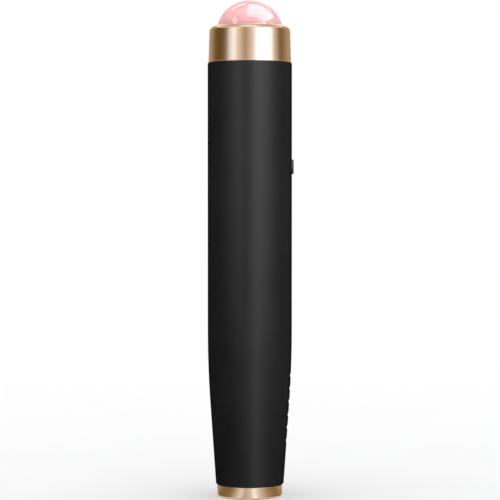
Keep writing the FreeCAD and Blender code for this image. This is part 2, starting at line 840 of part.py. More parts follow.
def battery_tube():
    """Split tube that guides the cell and carries the frame; the ground strip runs up its slot."""
    half = size.strip_width / 2 + size.strip_gap
    slot = block("tube_slot", (AXIS, -half, Z_TUBE), (BARREL_R, half * 2, Z_FRAME - Z_TUBE))
    return cut("battery_tube", ring("tube_whole", TUBE_R, TUBE_BORE_R, Z_TUBE, Z_FRAME), slot)


def battery_cell():
    """One round cell with its raised end up."""
    nub, shoulder = size.cell_nub_diameter / 2, Z_CONTACT - size.cell_nub_height
    corners = [
        (AXIS, Z_CELL),
        (CELL_R, Z_CELL),
        (CELL_R, shoulder),
        (nub, shoulder),
        (nub, Z_CONTACT),
        (AXIS, Z_CONTACT),
    ]
    return turned("battery_cell", corners)


def positive_contact():
    """Bent plate between the cell's raised end and the board's back."""
    width, thickness = size.contact_width, size.contact_thickness
    foot = block("contact_foot", (-width / 2, -width / 2, Z_CONTACT), (X_BOARD + width / 2, width, thickness))
    tab_low = (X_BOARD - thickness, -width / 2, Z_CONTACT)
    tab = block("contact_tab", tab_low, (thickness, width, Z_SOLDER - Z_CONTACT))
    return joined("positive_contact", foot, tab)


def ground_strip():
    """Stamped ring at the tail, with a strip up the cell's side and a tab on to the board."""
    width, thickness = size.strip_width, size.strip_thickness
    washer = ring("strip_ring", TUBE_R, TUBE_BORE_R, Z_STEP, Z_TUBE)
    riser = block("strip_riser", (X_STRIP, -width / 2, Z_STEP), (thickness, width, Z_SOLDER - Z_STEP))
    reach = X_STRIP + thickness - X_BOARD_FACE
    tab = block("strip_tab", (X_BOARD_FACE, -width / 2, Z_SOLDER - thickness), (reach, width, thickness))
    return joined("ground_strip", washer, riser, tab)


# End cap


def end_cap():
    """Gold cup that closes the tail and that the pen stands on."""
    corners = [
        (AXIS, AXIS),
        (CAP_BASE_R, AXIS),
        (CAP_TOP_R, Z_CAP_TOP),
        (PLUG_R, Z_CAP_TOP),
        (PLUG_R, size.cap_floor),
        (AXIS, size.cap_floor),
    ]
    edge = lesser(size.cap_edge_radius, size.cap_floor)
    return rounded(turned("end_cap", corners), edge, [(CAP_BASE_R, AXIS)])


Z_GROOVE_TOP = Z_THREAD - size.thread_inset / 2
Z_SEAL = Z_GROOVE_TOP - size.seal_gap - size.seal_section / 2
SEAL_R = SEAL_BORE_R - size.seal_gap - size.seal_section / 2


def cap_plug():
    """Threaded plug set in the gold cup, grooved for the seal and bored for the spring."""
    seal_space = size.seal_section / 2 + size.seal_gap
    corners = [
        (PLUG_BORE_R, size.cap_floor),
        (PLUG_R, size.cap_floor),
        (PLUG_R, Z_SEAL - seal_space),
        (SEAL_R - seal_space, Z_SEAL - seal_space),
        (SEAL_R - seal_space, Z_GROOVE_TOP),
        (PLUG_R, Z_GROOVE_TOP),
        (PLUG_R, Z_PLUG_TOP),
        (PLUG_BORE_R, Z_PLUG_TOP),
    ]
    body = turned("cap_plug", corners)
    section = thread_section(body, PLUG_R, RIDGE_R, Z_RIDGE, AXIS)
    run = Z_PLUG_TOP - size.thread_inset - size.thread_root / 2 - Z_RIDGE
    return wound(body, "PartDesign::AdditiveHelix", section, size.thread_lead, run)


def cap_seal():
    """Rubber ring between the plug and the tail's counterbore."""
    item = doc.addObject("Part::Torus", "cap_seal")
    item.setExpression("Radius1", SEAL_R.text)
    item.setExpression("Radius2", (size.seal_section / 2).text)
    return place(item, z=Z_SEAL)


def cap_liner():
    """Brass cup in the plug, with a flange that meets the ground ring at the tail."""
    flange_top = Z_PLUG_TOP + size.liner_thickness
    corners = [
        (AXIS, size.cap_floor),
        (PLUG_BORE_R, size.cap_floor),
        (PLUG_BORE_R, Z_PLUG_TOP),
        (PLUG_R, Z_PLUG_TOP),
        (PLUG_R, flange_top),
        (LINER_BORE_R, flange_top),
        (LINER_BORE_R, Z_LINER),
        (AXIS, Z_LINER),
    ]
    return turned("cap_liner", corners)


def negative_spring():
    """Tapered coil between the liner's floor and the cell's flat end, as one tube along quarter turns."""
    wire = size.spring_wire.value / 2
    base_r = LINER_BORE_R.value - size.spring_side_gap.value - wire
    low = Z_LINER.value + wire
    rise = Z_CELL.value - size.fit_gap.value - wire - low
    turns = 2 * math.pi * rise / size.spring_pitch.value
    steps = math.ceil(turns / (math.pi / 2))
    narrowing = (base_r - size.spring_top_diameter.value / 2) / turns
    climb = rise / turns
    line = [coil_point(turns * step / steps, base_r, narrowing, climb) for step in range(steps + 1)]
    arcs = []
    for (start, heading), (end, next_heading) in zip(line, line[1:]):
        arcs.extend(biarc(start, heading, end, next_heading))
    route = Part.Wire([arc.toShape() for arc in arcs])
    section = Part.Wire([Part.makeCircle(wire, *line[0])])
    item = doc.addObject("Part::Feature", "negative_spring")
    item.Shape = route.makePipeShell([section], True, False)
    item.Placement = FreeCAD.Placement(FreeCAD.Vector(0, 0, low), FreeCAD.Rotation())
    print(f"negative_spring: least gap to itself {coil_gap(route):.2f} mm")
    return item


def coil_point(turn, base_r, narrowing, climb):
    """A point of a tapered coil and the way that the coil heads there."""
    radius = base_r - narrowing * turn
    cosine, sine = math.cos(turn), math.sin(turn)
    point = FreeCAD.Vector(radius * cosine, radius * sine, climb * turn)
    heading = FreeCAD.Vector(-radius * sine - narrowing * cosine, radius * cosine - narrowing * sine, climb)
    return point, heading.normalize()


def biarc(start, heading, end, next_heading):
    """Two arcs that join two points and run on smoothly from each other and from both headings."""
    across, both = end - start, heading + next_heading
    turn = 2 * (1 - heading.dot(next_heading))
    along = across.dot(both)
    reach = (math.sqrt(along**2 + turn * across.dot(across)) - along) / turn
    first, second = start + heading * reach, end - next_heading * reach
    middle = (first + second) / 2
    return [arc_under(start, first, middle), arc_under(middle, second, end)]


def arc_under(start, corner, end):
    """The arc that touches two equal legs of a corner."""
    chord_middle = (start + end) / 2
    half_chord, height = (end - start).Length / 2, (corner - chord_middle).Length
    bulge = half_chord * math.tan(math.atan2(height, half_chord) / 2)
    return Part.Arc(start, chord_middle + (corner - chord_middle).normalize() * bulge, end)


def coil_gap(route):
    """Least gap between the turns of the spring's wire, measured on points along its middle line."""
    points = route.discretize(Distance=size.spring_wire.value / 2)
    half_turn = int(math.pi * size.spring_top_diameter.value / size.spring_wire.value)
    apart = (one.distanceToPoint(other) for i, one in enumerate(points) for other in points[i + half_turn :])
    return min(apart) - size.spring_wire.value


def check(piece):
    """Stops the build where a piece, or anything that it is made from, failed."""
    for item in [piece, *piece.OutListRecursive]:
        if "Invalid" in item.State or "Error" in item.State:
            raise RuntimeError(f"{item.Label} failed: {item.State}")
    shape = piece.Shape
    if shape.isNull() or not shape.isValid() or not shape.Solids:
        raise RuntimeError(f"{piece.Label} has no valid solid")


def main():
    pieces = [
        roller_ball(),
        ball_seat(),
        socket_cup(),
        ball_collar(),
        barrel(),
        power_button(),
        switch_plunger(),
        tact_switch(),
        circuit_board(),
        board_screws(),
        control_chip(),
        chip_resistors(),
        motor_can(),
        motor_end_bell(),
        motor_terminals(),
        motor_sleeve(),
        motor_shaft(),
        eccentric_weight(),
        motor_lead("positive_lead", Y_LEAD),
        motor_lead("negative_lead", -Y_LEAD),
        inner_frame(),
        battery_tube(),
        battery_cell(),
        positive_contact(),
        ground_strip(),
        end_cap(),
        cap_plug(),
        cap_seal(),
        cap_liner(),
        negative_spring(),
    ]
    doc.recompute()
    for piece in pieces:
        check(piece)
    os.makedirs("parts", exist_ok=True)
    for piece in pieces:
        piece.Shape.exportStep(os.path.join("parts", f"{piece.Label}.step"))
        print(f"{piece.Label}: {len(piece.Shape.Solids)} solid, {piece.Shape.Volume:.2f} mm3")


main()
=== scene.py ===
# %% [markdown]
# A facial massage pen, dressed for a picture.
# The imported solids come in as a fixed frame: one object for each piece, already in its place, in metres.
# Nothing of that frame is moved or reshaped. A piece whose shape is right only gets a better finish, and a
# piece that needs a finer surface is modelled again here and stands in for its solid.
# The box of the solids is kept.

# %% Load the frame
import json
import math

import bmesh
import bpy
from mathutils import Matrix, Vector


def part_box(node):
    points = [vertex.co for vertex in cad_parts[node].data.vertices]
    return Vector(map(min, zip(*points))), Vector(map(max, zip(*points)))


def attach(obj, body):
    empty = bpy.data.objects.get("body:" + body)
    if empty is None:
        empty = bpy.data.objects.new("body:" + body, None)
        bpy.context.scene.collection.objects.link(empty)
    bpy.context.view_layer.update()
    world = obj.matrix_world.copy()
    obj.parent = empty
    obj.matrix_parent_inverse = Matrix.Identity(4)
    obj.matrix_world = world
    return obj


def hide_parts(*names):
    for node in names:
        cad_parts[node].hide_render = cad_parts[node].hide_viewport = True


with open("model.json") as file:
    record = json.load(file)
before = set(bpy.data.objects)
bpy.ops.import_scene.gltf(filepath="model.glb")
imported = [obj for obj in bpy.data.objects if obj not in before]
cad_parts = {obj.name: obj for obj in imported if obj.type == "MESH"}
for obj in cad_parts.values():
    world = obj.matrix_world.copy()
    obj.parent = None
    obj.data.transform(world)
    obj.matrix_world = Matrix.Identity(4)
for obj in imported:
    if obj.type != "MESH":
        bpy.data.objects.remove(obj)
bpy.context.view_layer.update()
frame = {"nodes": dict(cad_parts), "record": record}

MM = 0.001
pieces = frame["nodes"]

# %% [markdown]
# Every finish starts the same way: a Principled shader, and the piece's own Object coordinates to place the
# pattern. Object coordinates stay with the piece when a joint moves it, so a cloud in the stone turns with
# the ball. Small helpers keep each finish readable: `grain` makes a noise field, `tints` turns it into
# colours, `between` turns it into a plain range of numbers, and `relief` turns it into fine bumps.
# A shader's plain settings are written straight on its sockets.

# %% Helpers for finishes


def new_finish(name):
    """A material with its shader and the Object coordinates of the piece that wears it."""
    finish = bpy.data.materials.new(name)
    finish.use_nodes = True
    tree = finish.node_tree
    shader = tree.nodes["Principled BSDF"]
    place = tree.nodes.new("ShaderNodeTexCoord").outputs["Object"]
    return finish, tree, shader, place


def stretched(tree, place, scale):
    """Coordinates squeezed or drawn out along the three axes."""
    mapping = tree.nodes.new("ShaderNodeMapping")
    mapping.inputs["Scale"].default_value = scale
    tree.links.new(place, mapping.inputs["Vector"])
    return mapping.outputs["Vector"]


def grain(tree, place, size, detail=2.0, twist=0.0):
    """Noise whose spots are about `size` metres across."""
    noise = tree.nodes.new("ShaderNodeTexNoise")
    noise.inputs["Scale"].default_value = 1.0 / size
    noise.inputs["Detail"].default_value = detail
    noise.inputs["Distortion"].default_value = twist
    tree.links.new(place, noise.inputs["Vector"])
    return noise.outputs["Fac"]


def tints(tree, field, stops, socket):
    """Colours along a field, each stop a position and a colour, led to a socket."""
    ramp = tree.nodes.new("ShaderNodeValToRGB")
    while len(ramp.color_ramp.elements) < len(stops):
        ramp.color_ramp.elements.new(0.5)
    for element, (position, colour) in zip(ramp.color_ramp.elements, stops):
        element.position = position
        element.color = (*colour, 1.0)
    tree.links.new(field, ramp.inputs["Fac"])
    tree.links.new(ramp.outputs["Color"], socket)
    return ramp.color_ramp


def between(tree, field, low, high, socket=None, start=0.3, end=0.7):
    """A field's span from start to end, spread over low to high, and led to a socket if there is one."""
    span = tree.nodes.new("ShaderNodeMapRange")
    span.interpolation_type = "SMOOTHSTEP"
    span.inputs["From Min"].default_value = start
    span.inputs["From Max"].default_value = end
    span.inputs["To Min"].default_value = low
    span.inputs["To Max"].default_value = high
    tree.links.new(field, span.inputs["Value"])
    if socket is not None:
        tree.links.new(span.outputs["Result"], socket)
    return span.outputs["Result"]


def relief(tree, field, strength, height, shader):
    """Fine bumps of a given height in metres, read from a field."""
    bump = tree.nodes.new("ShaderNodeBump")
    bump.inputs["Strength"].default_value = strength
    bump.inputs["Distance"].default_value = height
    tree.links.new(field, bump.inputs["Height"])
    tree.links.new(bump.outputs["Normal"], shader.inputs["Normal"])


# %% [markdown]
# Handled things wear first at their edges. Turned pieces have their edges at the ends, so height is enough
# to find them: `rubbed` gives a field that is strongest at the lower and the upper end of a piece and dies
# away within a short depth, broken up by noise. `worn_tints` uses it to lay a rubbed tone over the others.

# %% Helpers for worn edges
WEAR_GRAIN = 0.6 * MM


def height_of(tree, place):
    """The height above the table along the pen."""
    split = tree.nodes.new("ShaderNodeSeparateXYZ")
    tree.links.new(place, split.inputs["Vector"])
    return split.outputs["Z"]


def rubbed(tree, place, low, high, depth):
    """A field for wear at the heights low and high, broken up by noise."""
    height = height_of(tree, place)
    ends = tree.nodes.new("ShaderNodeMath")
    ends.operation = "MAXIMUM"
    between(tree, height, 1.0, 0.0, ends.inputs[0], start=low, end=low + depth)
    between(tree, height, 0.0, 1.0, ends.inputs[1], start=high - depth, end=high)
    broken = tree.nodes.new("ShaderNodeMath")
    broken.operation = "MULTIPLY"
    tree.links.new(ends.outputs["Value"], broken.inputs[0])
    between(tree, grain(tree, place, WEAR_GRAIN, detail=4.0), 0.1, 0.8, broken.inputs[1])
    return broken.outputs["Value"]


def worn_tints(tree, field, stops, wear, tone, socket):
    """Colours along a field, with another tone laid over them where the wear is."""
    mix = tree.nodes.new("ShaderNodeMix")
    mix.data_type = "RGBA"
    tints(tree, field, stops, mix.inputs["A"])
    mix.inputs["B"].default_value = (*tone, 1.0)
    tree.links.new(wear, mix.inputs["Factor"])
    tree.links.new(mix.outputs["Result"], socket)


# %% [markdown]
# The collar and the end cap are brass, polished on a lathe and plated in a pale champagne gold.
# A mirror would show the lamps with hard edges. The real plating is a little softer, so the shader is a
# metal with a low roughness, and very fine turned lines run round the axis: noise that is squeezed along Z
# and drawn out round the pen. A slow cloud shifts the colour slightly, and the crown and foot are rubbed.

# %% Gold plating
GOLD_DEEP = (0.85, 0.69, 0.52)
GOLD_PALE = (0.90, 0.75, 0.58)
GOLD_RUBBED = (0.92, 0.79, 0.63)
GOLD_WEAR = 0.6 * MM
GOLD_CLOUD = 9 * MM
TURNED_LINES = 0.12 * MM
ROUND_THE_AXIS = (0.02, 0.02, 1.0)


def make_gold_plate():
    finish, tree, shader, place = new_finish("gold_plate")
    shader.inputs["Metallic"].default_value = 1.0
    tones = [(0.3, GOLD_DEEP), (0.7, GOLD_PALE)]
    foot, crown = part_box("end_cap")[0].z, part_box("ball_collar")[1].z
    wear = rubbed(tree, place, foot, crown, GOLD_WEAR)
    cloud = grain(tree, place, GOLD_CLOUD)
    worn_tints(tree, cloud, tones, wear, GOLD_RUBBED, shader.inputs["Base Color"])
    lines = grain(tree, stretched(tree, place, ROUND_THE_AXIS), TURNED_LINES)
    between(tree, lines, 0.19, 0.23, shader.inputs["Roughness"])
    relief(tree, lines, 0.02, 0.003 * MM, shader)
    return finish


gold_plate = make_gold_plate()
print("finish", gold_plate.name)

# %% [markdown]
# The barrel has a soft-touch coat over black plastic: nearly black, satin, with a grain that is felt more
# than seen. The base colour is not zero, because even such a coat scatters nearly one percent of the light.
# A slow noise varies the tone and the gloss where fingers polish it, and a very fine one gives the grain.
# Fine powder in such a coat keeps it from glaring at flat angles. Here the Layer Weight node's Facing
# value, which grows towards the sides of a round piece, takes the gloss away there.

# %% Soft-touch black
COAT_DARK = (0.0062, 0.0062, 0.0064)
COAT_WORN = (0.0085, 0.0085, 0.0087)
COAT_RUBBED = (0.018, 0.018, 0.019)
COAT_WEAR = 0.5 * MM
COAT_CLOUD = 14 * MM
COAT_GRAIN = 0.14 * MM
COAT_GLOSS = 0.52
GLOSS_FADES = (-0.1, 0.72)


def make_soft_black():
    finish, tree, shader, place = new_finish("soft_black")
    hands = grain(tree, place, COAT_CLOUD, detail=4.0)
    low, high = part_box("barrel")
    wear = rubbed(tree, place, low.z, high.z, COAT_WEAR)
    tones = [(0.35, COAT_DARK), (0.7, COAT_WORN)]
    worn_tints(tree, hands, tones, wear, COAT_RUBBED, shader.inputs["Base Color"])
    between(tree, hands, 0.29, 0.34, shader.inputs["Roughness"])
    relief(tree, grain(tree, place, COAT_GRAIN), 0.06, 0.02 * MM, shader)
    facing = tree.nodes.new("ShaderNodeLayerWeight").outputs["Facing"]
    start, end = GLOSS_FADES
    between(tree, facing, COAT_GLOSS, 0.0, shader.inputs["Specular IOR Level"], start=start, end=end)
    return finish


soft_black = make_soft_black()
print("finish", soft_black.name)

# %% [markdown]
# The ball is a pink quartz, cut round and polished. Its colour lies in soft clouds with a few pale wisps,
# and light enters it before it comes back, so the shader has much subsurface scattering with a reach of a
# few millimetres. The polish is a clear coat on top with the index of quartz. The shader's own gloss is
# off, so that each lamp is mirrored once, and sharply.

# %% Pink stone
STONE_DEEP = (0.88, 0.41, 0.43)
STONE_MID = (0.89, 0.45, 0.475)
STONE_PALE = (0.92, 0.55, 0.58)
STONE_CLOUD = 11 * MM
STONE_REACH = 6 * MM
QUARTZ_INDEX = 1.54


def make_rose_stone():
    finish, tree, shader, place = new_finish("rose_stone")
    clouds = grain(tree, place, STONE_CLOUD, detail=5.0, twist=1.2)
    stops = [(0.34, STONE_DEEP), (0.52, STONE_MID), (0.70, STONE_PALE)]
    tints(tree, clouds, stops, shader.inputs["Base Color"])
    shader.inputs["Subsurface Weight"].default_value = 0.8
    shader.inputs["Subsurface Radius"].default_value = (1.0, 0.55, 0.5)
    shader.inputs["Subsurface Scale"].default_value = STONE_REACH
    shader.inputs["Specular IOR Level"].default_value = 0.0
    shader.inputs["Coat Weight"].default_value = 1.0
    shader.inputs["Coat IOR"].default_value = QUARTZ_INDEX
    shader.inputs["Coat Roughness"].default_value = 0.01
    between(tree, grain(tree, place, 1.5 * MM), 0.30, 0.40, shader.inputs["Roughness"])
    relief(tree, grain(tree, place, 2.5 * MM), 0.02, 0.01 * MM, shader)
    return finish


rose_stone = make_rose_stone()
print("finish", rose_stone.name)

# %% [markdown]
# Most pieces inside are moulded plastic or rubber. One recipe serves them all: two close tones in a slow
# cloud, a range of gloss, and a spark-eroded grain of the size that such a mould leaves. Each piece gets
# its own tones and its own grain, so that nylon, acetal and rubber don't look alike.

# %% Moulded plastics and rubber


def make_moulded(name, dark, light, gloss, spot, bite):
    """Plastic from a mould: two tones, a range of roughness, and a grain of a given spot size and bite."""
    finish, tree, shader, place = new_finish(name)
    cloud = grain(tree, place, 3.5 * MM, detail=3.0)
    tints(tree, cloud, [(0.32, dark), (0.68, light)], shader.inputs["Base Color"])
    between(tree, cloud, gloss[0], gloss[1], shader.inputs["Roughness"])
    relief(tree, grain(tree, place, spot), bite, 0.02 * MM, shader)
    return finish


finishes = {"gold_plate": gold_plate, "soft_black": soft_black, "rose_stone": rose_stone}
for name, dark, light, gloss, spot, bite in [
    ("button_black", (0.014, 0.014, 0.015), (0.022, 0.022, 0.024), (0.26, 0.36), 0.2 * MM, 0.05),
    ("white_acetal", (0.74, 0.74, 0.71), (0.82, 0.82, 0.79), (0.28, 0.40), 0.3 * MM, 0.05),
    ("grey_nylon", (0.07, 0.075, 0.085), (0.10, 0.105, 0.115), (0.45, 0.60), 0.18 * MM, 0.15),
    ("natural_nylon", (0.66, 0.63, 0.55), (0.74, 0.72, 0.64), (0.38, 0.55), 0.2 * MM, 0.12),
    ("black_rubber", (0.012, 0.012, 0.012), (0.022, 0.022, 0.021), (0.62, 0.82), 0.12 * MM, 0.25),
    ("part_black", (0.014, 0.014, 0.016), (0.026, 0.026, 0.028), (0.42, 0.58), 0.1 * MM, 0.25),
    ("switch_grey", (0.03, 0.03, 0.032), (0.05, 0.05, 0.052), (0.40, 0.52), 0.12 * MM, 0.15),
    ("lead_red", (0.38, 0.012, 0.012), (0.50, 0.022, 0.02), (0.35, 0.48), 0.25 * MM, 0.08),
    ("lead_black", (0.012, 0.012, 0.013), (0.024, 0.024, 0.025), (0.35, 0.48), 0.25 * MM, 0.08),
]:
    finishes[name] = make_moulded(name, dark, light, gloss, spot, bite)
print(len(finishes), "finishes so far")

# %% [markdown]
# The stamped, drawn and sintered metals inside share another recipe. What tells them apart is the direction
# of their fine lines: drawn wire and turned parts have lines round or along the axis, stamped sheet has a
# rolled grain, and a sintered weight has open pits instead of lines.

# %% Inner metals


def make_metal(name, dark, light, gloss, draw, spot, bite):
    """Bare or plated metal whose grain is drawn out along the axes where `draw` is small."""
    finish, tree, shader, place = new_finish(name)
    shader.inputs["Metallic"].default_value = 1.0
    cloud = grain(tree, place, 4 * MM, detail=4.0)
    tints(tree, cloud, [(0.3, dark), (0.7, light)], shader.inputs["Base Color"])
    lines = grain(tree, stretched(tree, place, draw), spot, detail=3.0)
    between(tree, lines, gloss[0], gloss[1], shader.inputs["Roughness"])
    relief(tree, lines, bite, 0.01 * MM, shader)
    return finish


ROLLED = (1.0, 1.0, 0.06)
DRAWN = (0.3, 0.3, 1.0)
LATHED = (0.05, 0.05, 1.0)
PITTED = (1.0, 1.0, 1.0)
for name, dark, light, gloss, draw, spot, bite in [
    ("nickel", (0.50, 0.48, 0.44), (0.62, 0.60, 0.56), (0.22, 0.34), ROLLED, 0.15 * MM, 0.10),
    ("spring_steel", (0.40, 0.40, 0.39), (0.55, 0.55, 0.53), (0.20, 0.34), DRAWN, 0.12 * MM, 0.12),
    ("zinc_can", (0.45, 0.46, 0.49), (0.58, 0.59, 0.61), (0.28, 0.42), LATHED, 0.15 * MM, 0.10),
    ("sintered_weight", (0.16, 0.16, 0.17), (0.26, 0.26, 0.27), (0.45, 0.68), PITTED, 0.12 * MM, 0.5),
    ("contact_brass", (0.66, 0.44, 0.17), (0.78, 0.55, 0.25), (0.24, 0.38), LATHED, 0.15 * MM, 0.10),
]:
    finishes[name] = make_metal(name, dark, light, gloss, draw, spot, bite)
print(len(finishes), "finishes so far")

# %% [markdown]
# Two pieces inside have a pattern of their own. The board's solder mask is green, darker where copper runs
# under it: a Wave texture bent by noise stands for the tracks. The cell is wrapped in a printed film with
# plain bands, which a ramp along Z paints, so no lettering is needed.

# %% Solder mask and cell wrap


def make_board_green():
    finish, tree, shader, place = new_finish("board_green")
    tracks = tree.nodes.new("ShaderNodeTexWave")
    tracks.bands_direction = "Y"
    tracks.inputs["Scale"].default_value = 160.0
    tracks.inputs["Distortion"].default_value = 2.5
    tracks.inputs["Detail Scale"].default_value = 0.6
    tree.links.new(place, tracks.inputs["Vector"])
    stops = [(0.42, (0.008, 0.10, 0.035)), (0.55, (0.015, 0.17, 0.06))]
    tints(tree, tracks.outputs["Fac"], stops, shader.inputs["Base Color"])
    between(tree, grain(tree, place, 0.8 * MM), 0.22, 0.36, shader.inputs["Roughness"])
    relief(tree, tracks.outputs["Fac"], 0.15, 0.03 * MM, shader)
    return finish


def make_cell_wrap():
    finish, tree, shader, place = new_finish("cell_wrap")
    low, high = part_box("battery_cell")
    along = tree.nodes.new("ShaderNodeMapRange")
    along.inputs["From Min"].default_value = low.z
    along.inputs["From Max"].default_value = high.z
    tree.links.new(height_of(tree, place), along.inputs["Value"])
    silver, teal, pale = (0.52, 0.53, 0.54), (0.02, 0.09, 0.12), (0.55, 0.62, 0.62)
    bands = [(0.0, silver), (0.02, teal), (0.72, pale), (0.75, teal), (0.95, silver)]
    tints(tree, along.outputs["Result"], bands, shader.inputs["Base Color"])
    shader.inputs["Metallic"].default_value = 0.35
    between(tree, grain(tree, place, 2.5 * MM, detail=4.0), 0.18, 0.30, shader.inputs["Roughness"])
    relief(tree, grain(tree, place, 1.2 * MM), 0.06, 0.02 * MM, shader)
    return finish


finishes["board_green"] = make_board_green()
finishes["cell_wrap"] = make_cell_wrap()
print(len(finishes), "finishes in all")

# %% [markdown]
# The frame's record says which finish slot each piece has. Setting the material in the object's slots
# leaves the mesh alone, which is all that a piece with the right shape needs.

# %% Dress the frame
for row in frame["record"]["subparts"]:
    for holder in pieces[row["node"]].material_slots:
        holder.material = finishes[row["material_slot"]]

# %% [markdown]
# The gold pieces are turned on a lathe, so they are modelled the same way: a half section is drawn as a few
# vertices in the XZ plane and spun once round Z. `use_merge` closes the seam, merging doubles closes any
# pole on the axis, and the normals are recalculated after that. The sharp rings are then beveled, each with
# the radius that the real edge has, in enough segments to carry a highlight. Lengths are in millimetres.

# %% Helpers for turned pieces
TURN_STEPS = 192
WELD = 0.0005 * MM
RING_NEAR = 0.02 * MM
SHARP_FROM = 40


def turned(section, closed=True):
    """A half section of (radius, height) corners in mm, spun once round Z into a closed mesh.

    A section that begins and ends on the axis needs no closing side."""
    mesh = bmesh.new()
    corners = [mesh.verts.new((radius * MM, 0.0, height * MM)) for radius, height in section]
    sides = [mesh.edges.new(pair) for pair in zip(corners, corners[1:])]
    if closed:
        sides.append(mesh.edges.new((corners[-1], corners[0])))
    bmesh.ops.spin(
        mesh,
        geom=corners + sides,
        cent=(0.0, 0.0, 0.0),
        axis=(0.0, 0.0, 1.0),
        angle=math.tau,
        steps=TURN_STEPS,
        use_merge=True,
    )
    bmesh.ops.remove_doubles(mesh, verts=mesh.verts, dist=WELD)
    bmesh.ops.dissolve_degenerate(mesh, edges=mesh.edges, dist=WELD)
    bmesh.ops.recalc_face_normals(mesh, faces=mesh.faces)
    return mesh


def ring_edges(mesh, radius, height):
    """The edges of one turned ring, found by its radius and height in mm."""

    def on_ring(vert):
        off_radius = abs(vert.co.xy.length - radius * MM)
        off_height = abs(vert.co.z - height * MM)
        return off_radius < RING_NEAR and off_height < RING_NEAR

    return [edge for edge in mesh.edges if all(on_ring(vert) for vert in edge.verts)]


def round_edges(mesh, edges, edge_radius, segments):
    """Rounds edges with a radius in mm."""
    bmesh.ops.bevel(
        mesh,
        geom=edges,
        offset=edge_radius * MM,
        offset_type="OFFSET",
        segments=segments,
        profile=0.5,
        affect="EDGES",
        material=-1,
        clamp_overlap=True,
    )


def round_ring(mesh, radius, height, edge_radius, segments):
    """Rounds one turned ring."""
    round_edges(mesh, ring_edges(mesh, radius, height), edge_radius, segments)


def finish_piece(name, mesh, body, slot, replaced=()):
    """Turns a bmesh into a smooth object that rides on a body and wears a slot's finish."""
    data = bpy.data.meshes.new(name)
    mesh.to_mesh(data)
    mesh.free()
    data.shade_smooth()
    data.set_sharp_from_angle(angle=math.radians(SHARP_FROM))
    data.materials.append(finishes[slot])
    piece = bpy.data.objects.new(name, data)
    bpy.context.scene.collection.objects.link(piece)
    even = piece.modifiers.new("even_normals", "WEIGHTED_NORMAL")
    even.keep_sharp = True
    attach(piece, body)
    if replaced:
        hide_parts(*replaced)
    print(name, len(data.polygons), "faces")
    return piece


# %% [markdown]
# The collar closes over the ball's middle: its lip is narrower than the ball, and its crest is a quarter of
# an ellipse, which catches the overhead light as a thin bright line. Its side leans in slightly towards the
# top. At the foot, a fine bead finishes the edge where the collar meets the barrel, and a spigot goes down
# into the barrel's mouth.

# %% Gold collar
COLLAR_BORE = 9.15
SPIGOT_FOOT = 110.2
SPIGOT_RADIUS = 9.90
COLLAR_FOOT = 116.2
BEAD_RADIUS = 11.22
BEAD_TOP = 116.45
SIDE_RADIUS = 11.142
CREST_START = 124.55
CREST_TOP = 126.12
CREST_OUTER = 10.90
CREST_INNER = 9.10
CREST_POINTS = 18
LIP_RADIUS = 8.90
LIP_HEIGHT = 126.0
THROAT = [(9.07, 125.3), (COLLAR_BORE, 124.1)]
LIP_EDGE = 0.08
BEAD_EDGE = 0.07
FINE_SEGMENTS = 3

crest = []
for step in range(CREST_POINTS + 1):
    turn = math.radians(90) * step / CREST_POINTS
    radius = CREST_INNER + (CREST_OUTER - CREST_INNER) * math.cos(turn)
    crest.append((radius, CREST_START + (CREST_TOP - CREST_START) * math.sin(turn)))
COLLAR_SECTION = [
    (COLLAR_BORE, SPIGOT_FOOT),
    (SPIGOT_RADIUS, SPIGOT_FOOT),
    (SPIGOT_RADIUS, COLLAR_FOOT),
    (BEAD_RADIUS, COLLAR_FOOT),
    (BEAD_RADIUS, BEAD_TOP),
    (SIDE_RADIUS, BEAD_TOP),
    *crest,
    (LIP_RADIUS, LIP_HEIGHT),
    *THROAT,
]
collar_mesh = turned(COLLAR_SECTION)
round_ring(collar_mesh, LIP_RADIUS, LIP_HEIGHT, LIP_EDGE, FINE_SEGMENTS)
round_ring(collar_mesh, BEAD_RADIUS, BEAD_TOP, BEAD_EDGE, FINE_SEGMENTS)
round_ring(collar_mesh, BEAD_RADIUS, COLLAR_FOOT, BEAD_EDGE, FINE_SEGMENTS)
finish_piece("gold_collar", collar_mesh, "pen", "gold_plate", ["ball_collar"])

# %% [markdown]
# The end cap is a shallow gold cup. Its lower edge is rounded, because the pen stands and is dragged on it,
# and its upper edge is only broken. The inside is left plain: the threaded plug fills it.

# %% Gold end cap
CAP_FOOT_RADIUS = 8.6
CAP_TOP_RADIUS = 8.8
CAP_TOP = 3.2
CAP_BORE = 7.6
CAP_FLOOR = 1.0
CAP_FOOT_EDGE = 0.5
CAP_TOP_EDGE = 0.08
FOOT_SEGMENTS = 8
CAP_SECTION = [
    (0.0, 0.0),
    (CAP_FOOT_RADIUS, 0.0),
    (CAP_TOP_RADIUS, CAP_TOP),
    (CAP_BORE, CAP_TOP),
    (CAP_BORE, CAP_FLOOR),
    (0.0, CAP_FLOOR),
]
cap_mesh = turned(CAP_SECTION, closed=False)
round_ring(cap_mesh, CAP_FOOT_RADIUS, 0.0, CAP_FOOT_EDGE, FOOT_SEGMENTS)
round_ring(cap_mesh, CAP_TOP_RADIUS, CAP_TOP, CAP_TOP_EDGE, FINE_SEGMENTS)
cap = finish_piece("gold_end_cap", cap_mesh, "cap", "gold_plate", ["end_cap"])

# %% [markdown]
# The ball could be spun too, but a spun ball has poles, and its faces crowd there. An icosphere has faces
# of one size all over, so the polish is even from every side, and the ball may roll without showing a seam.

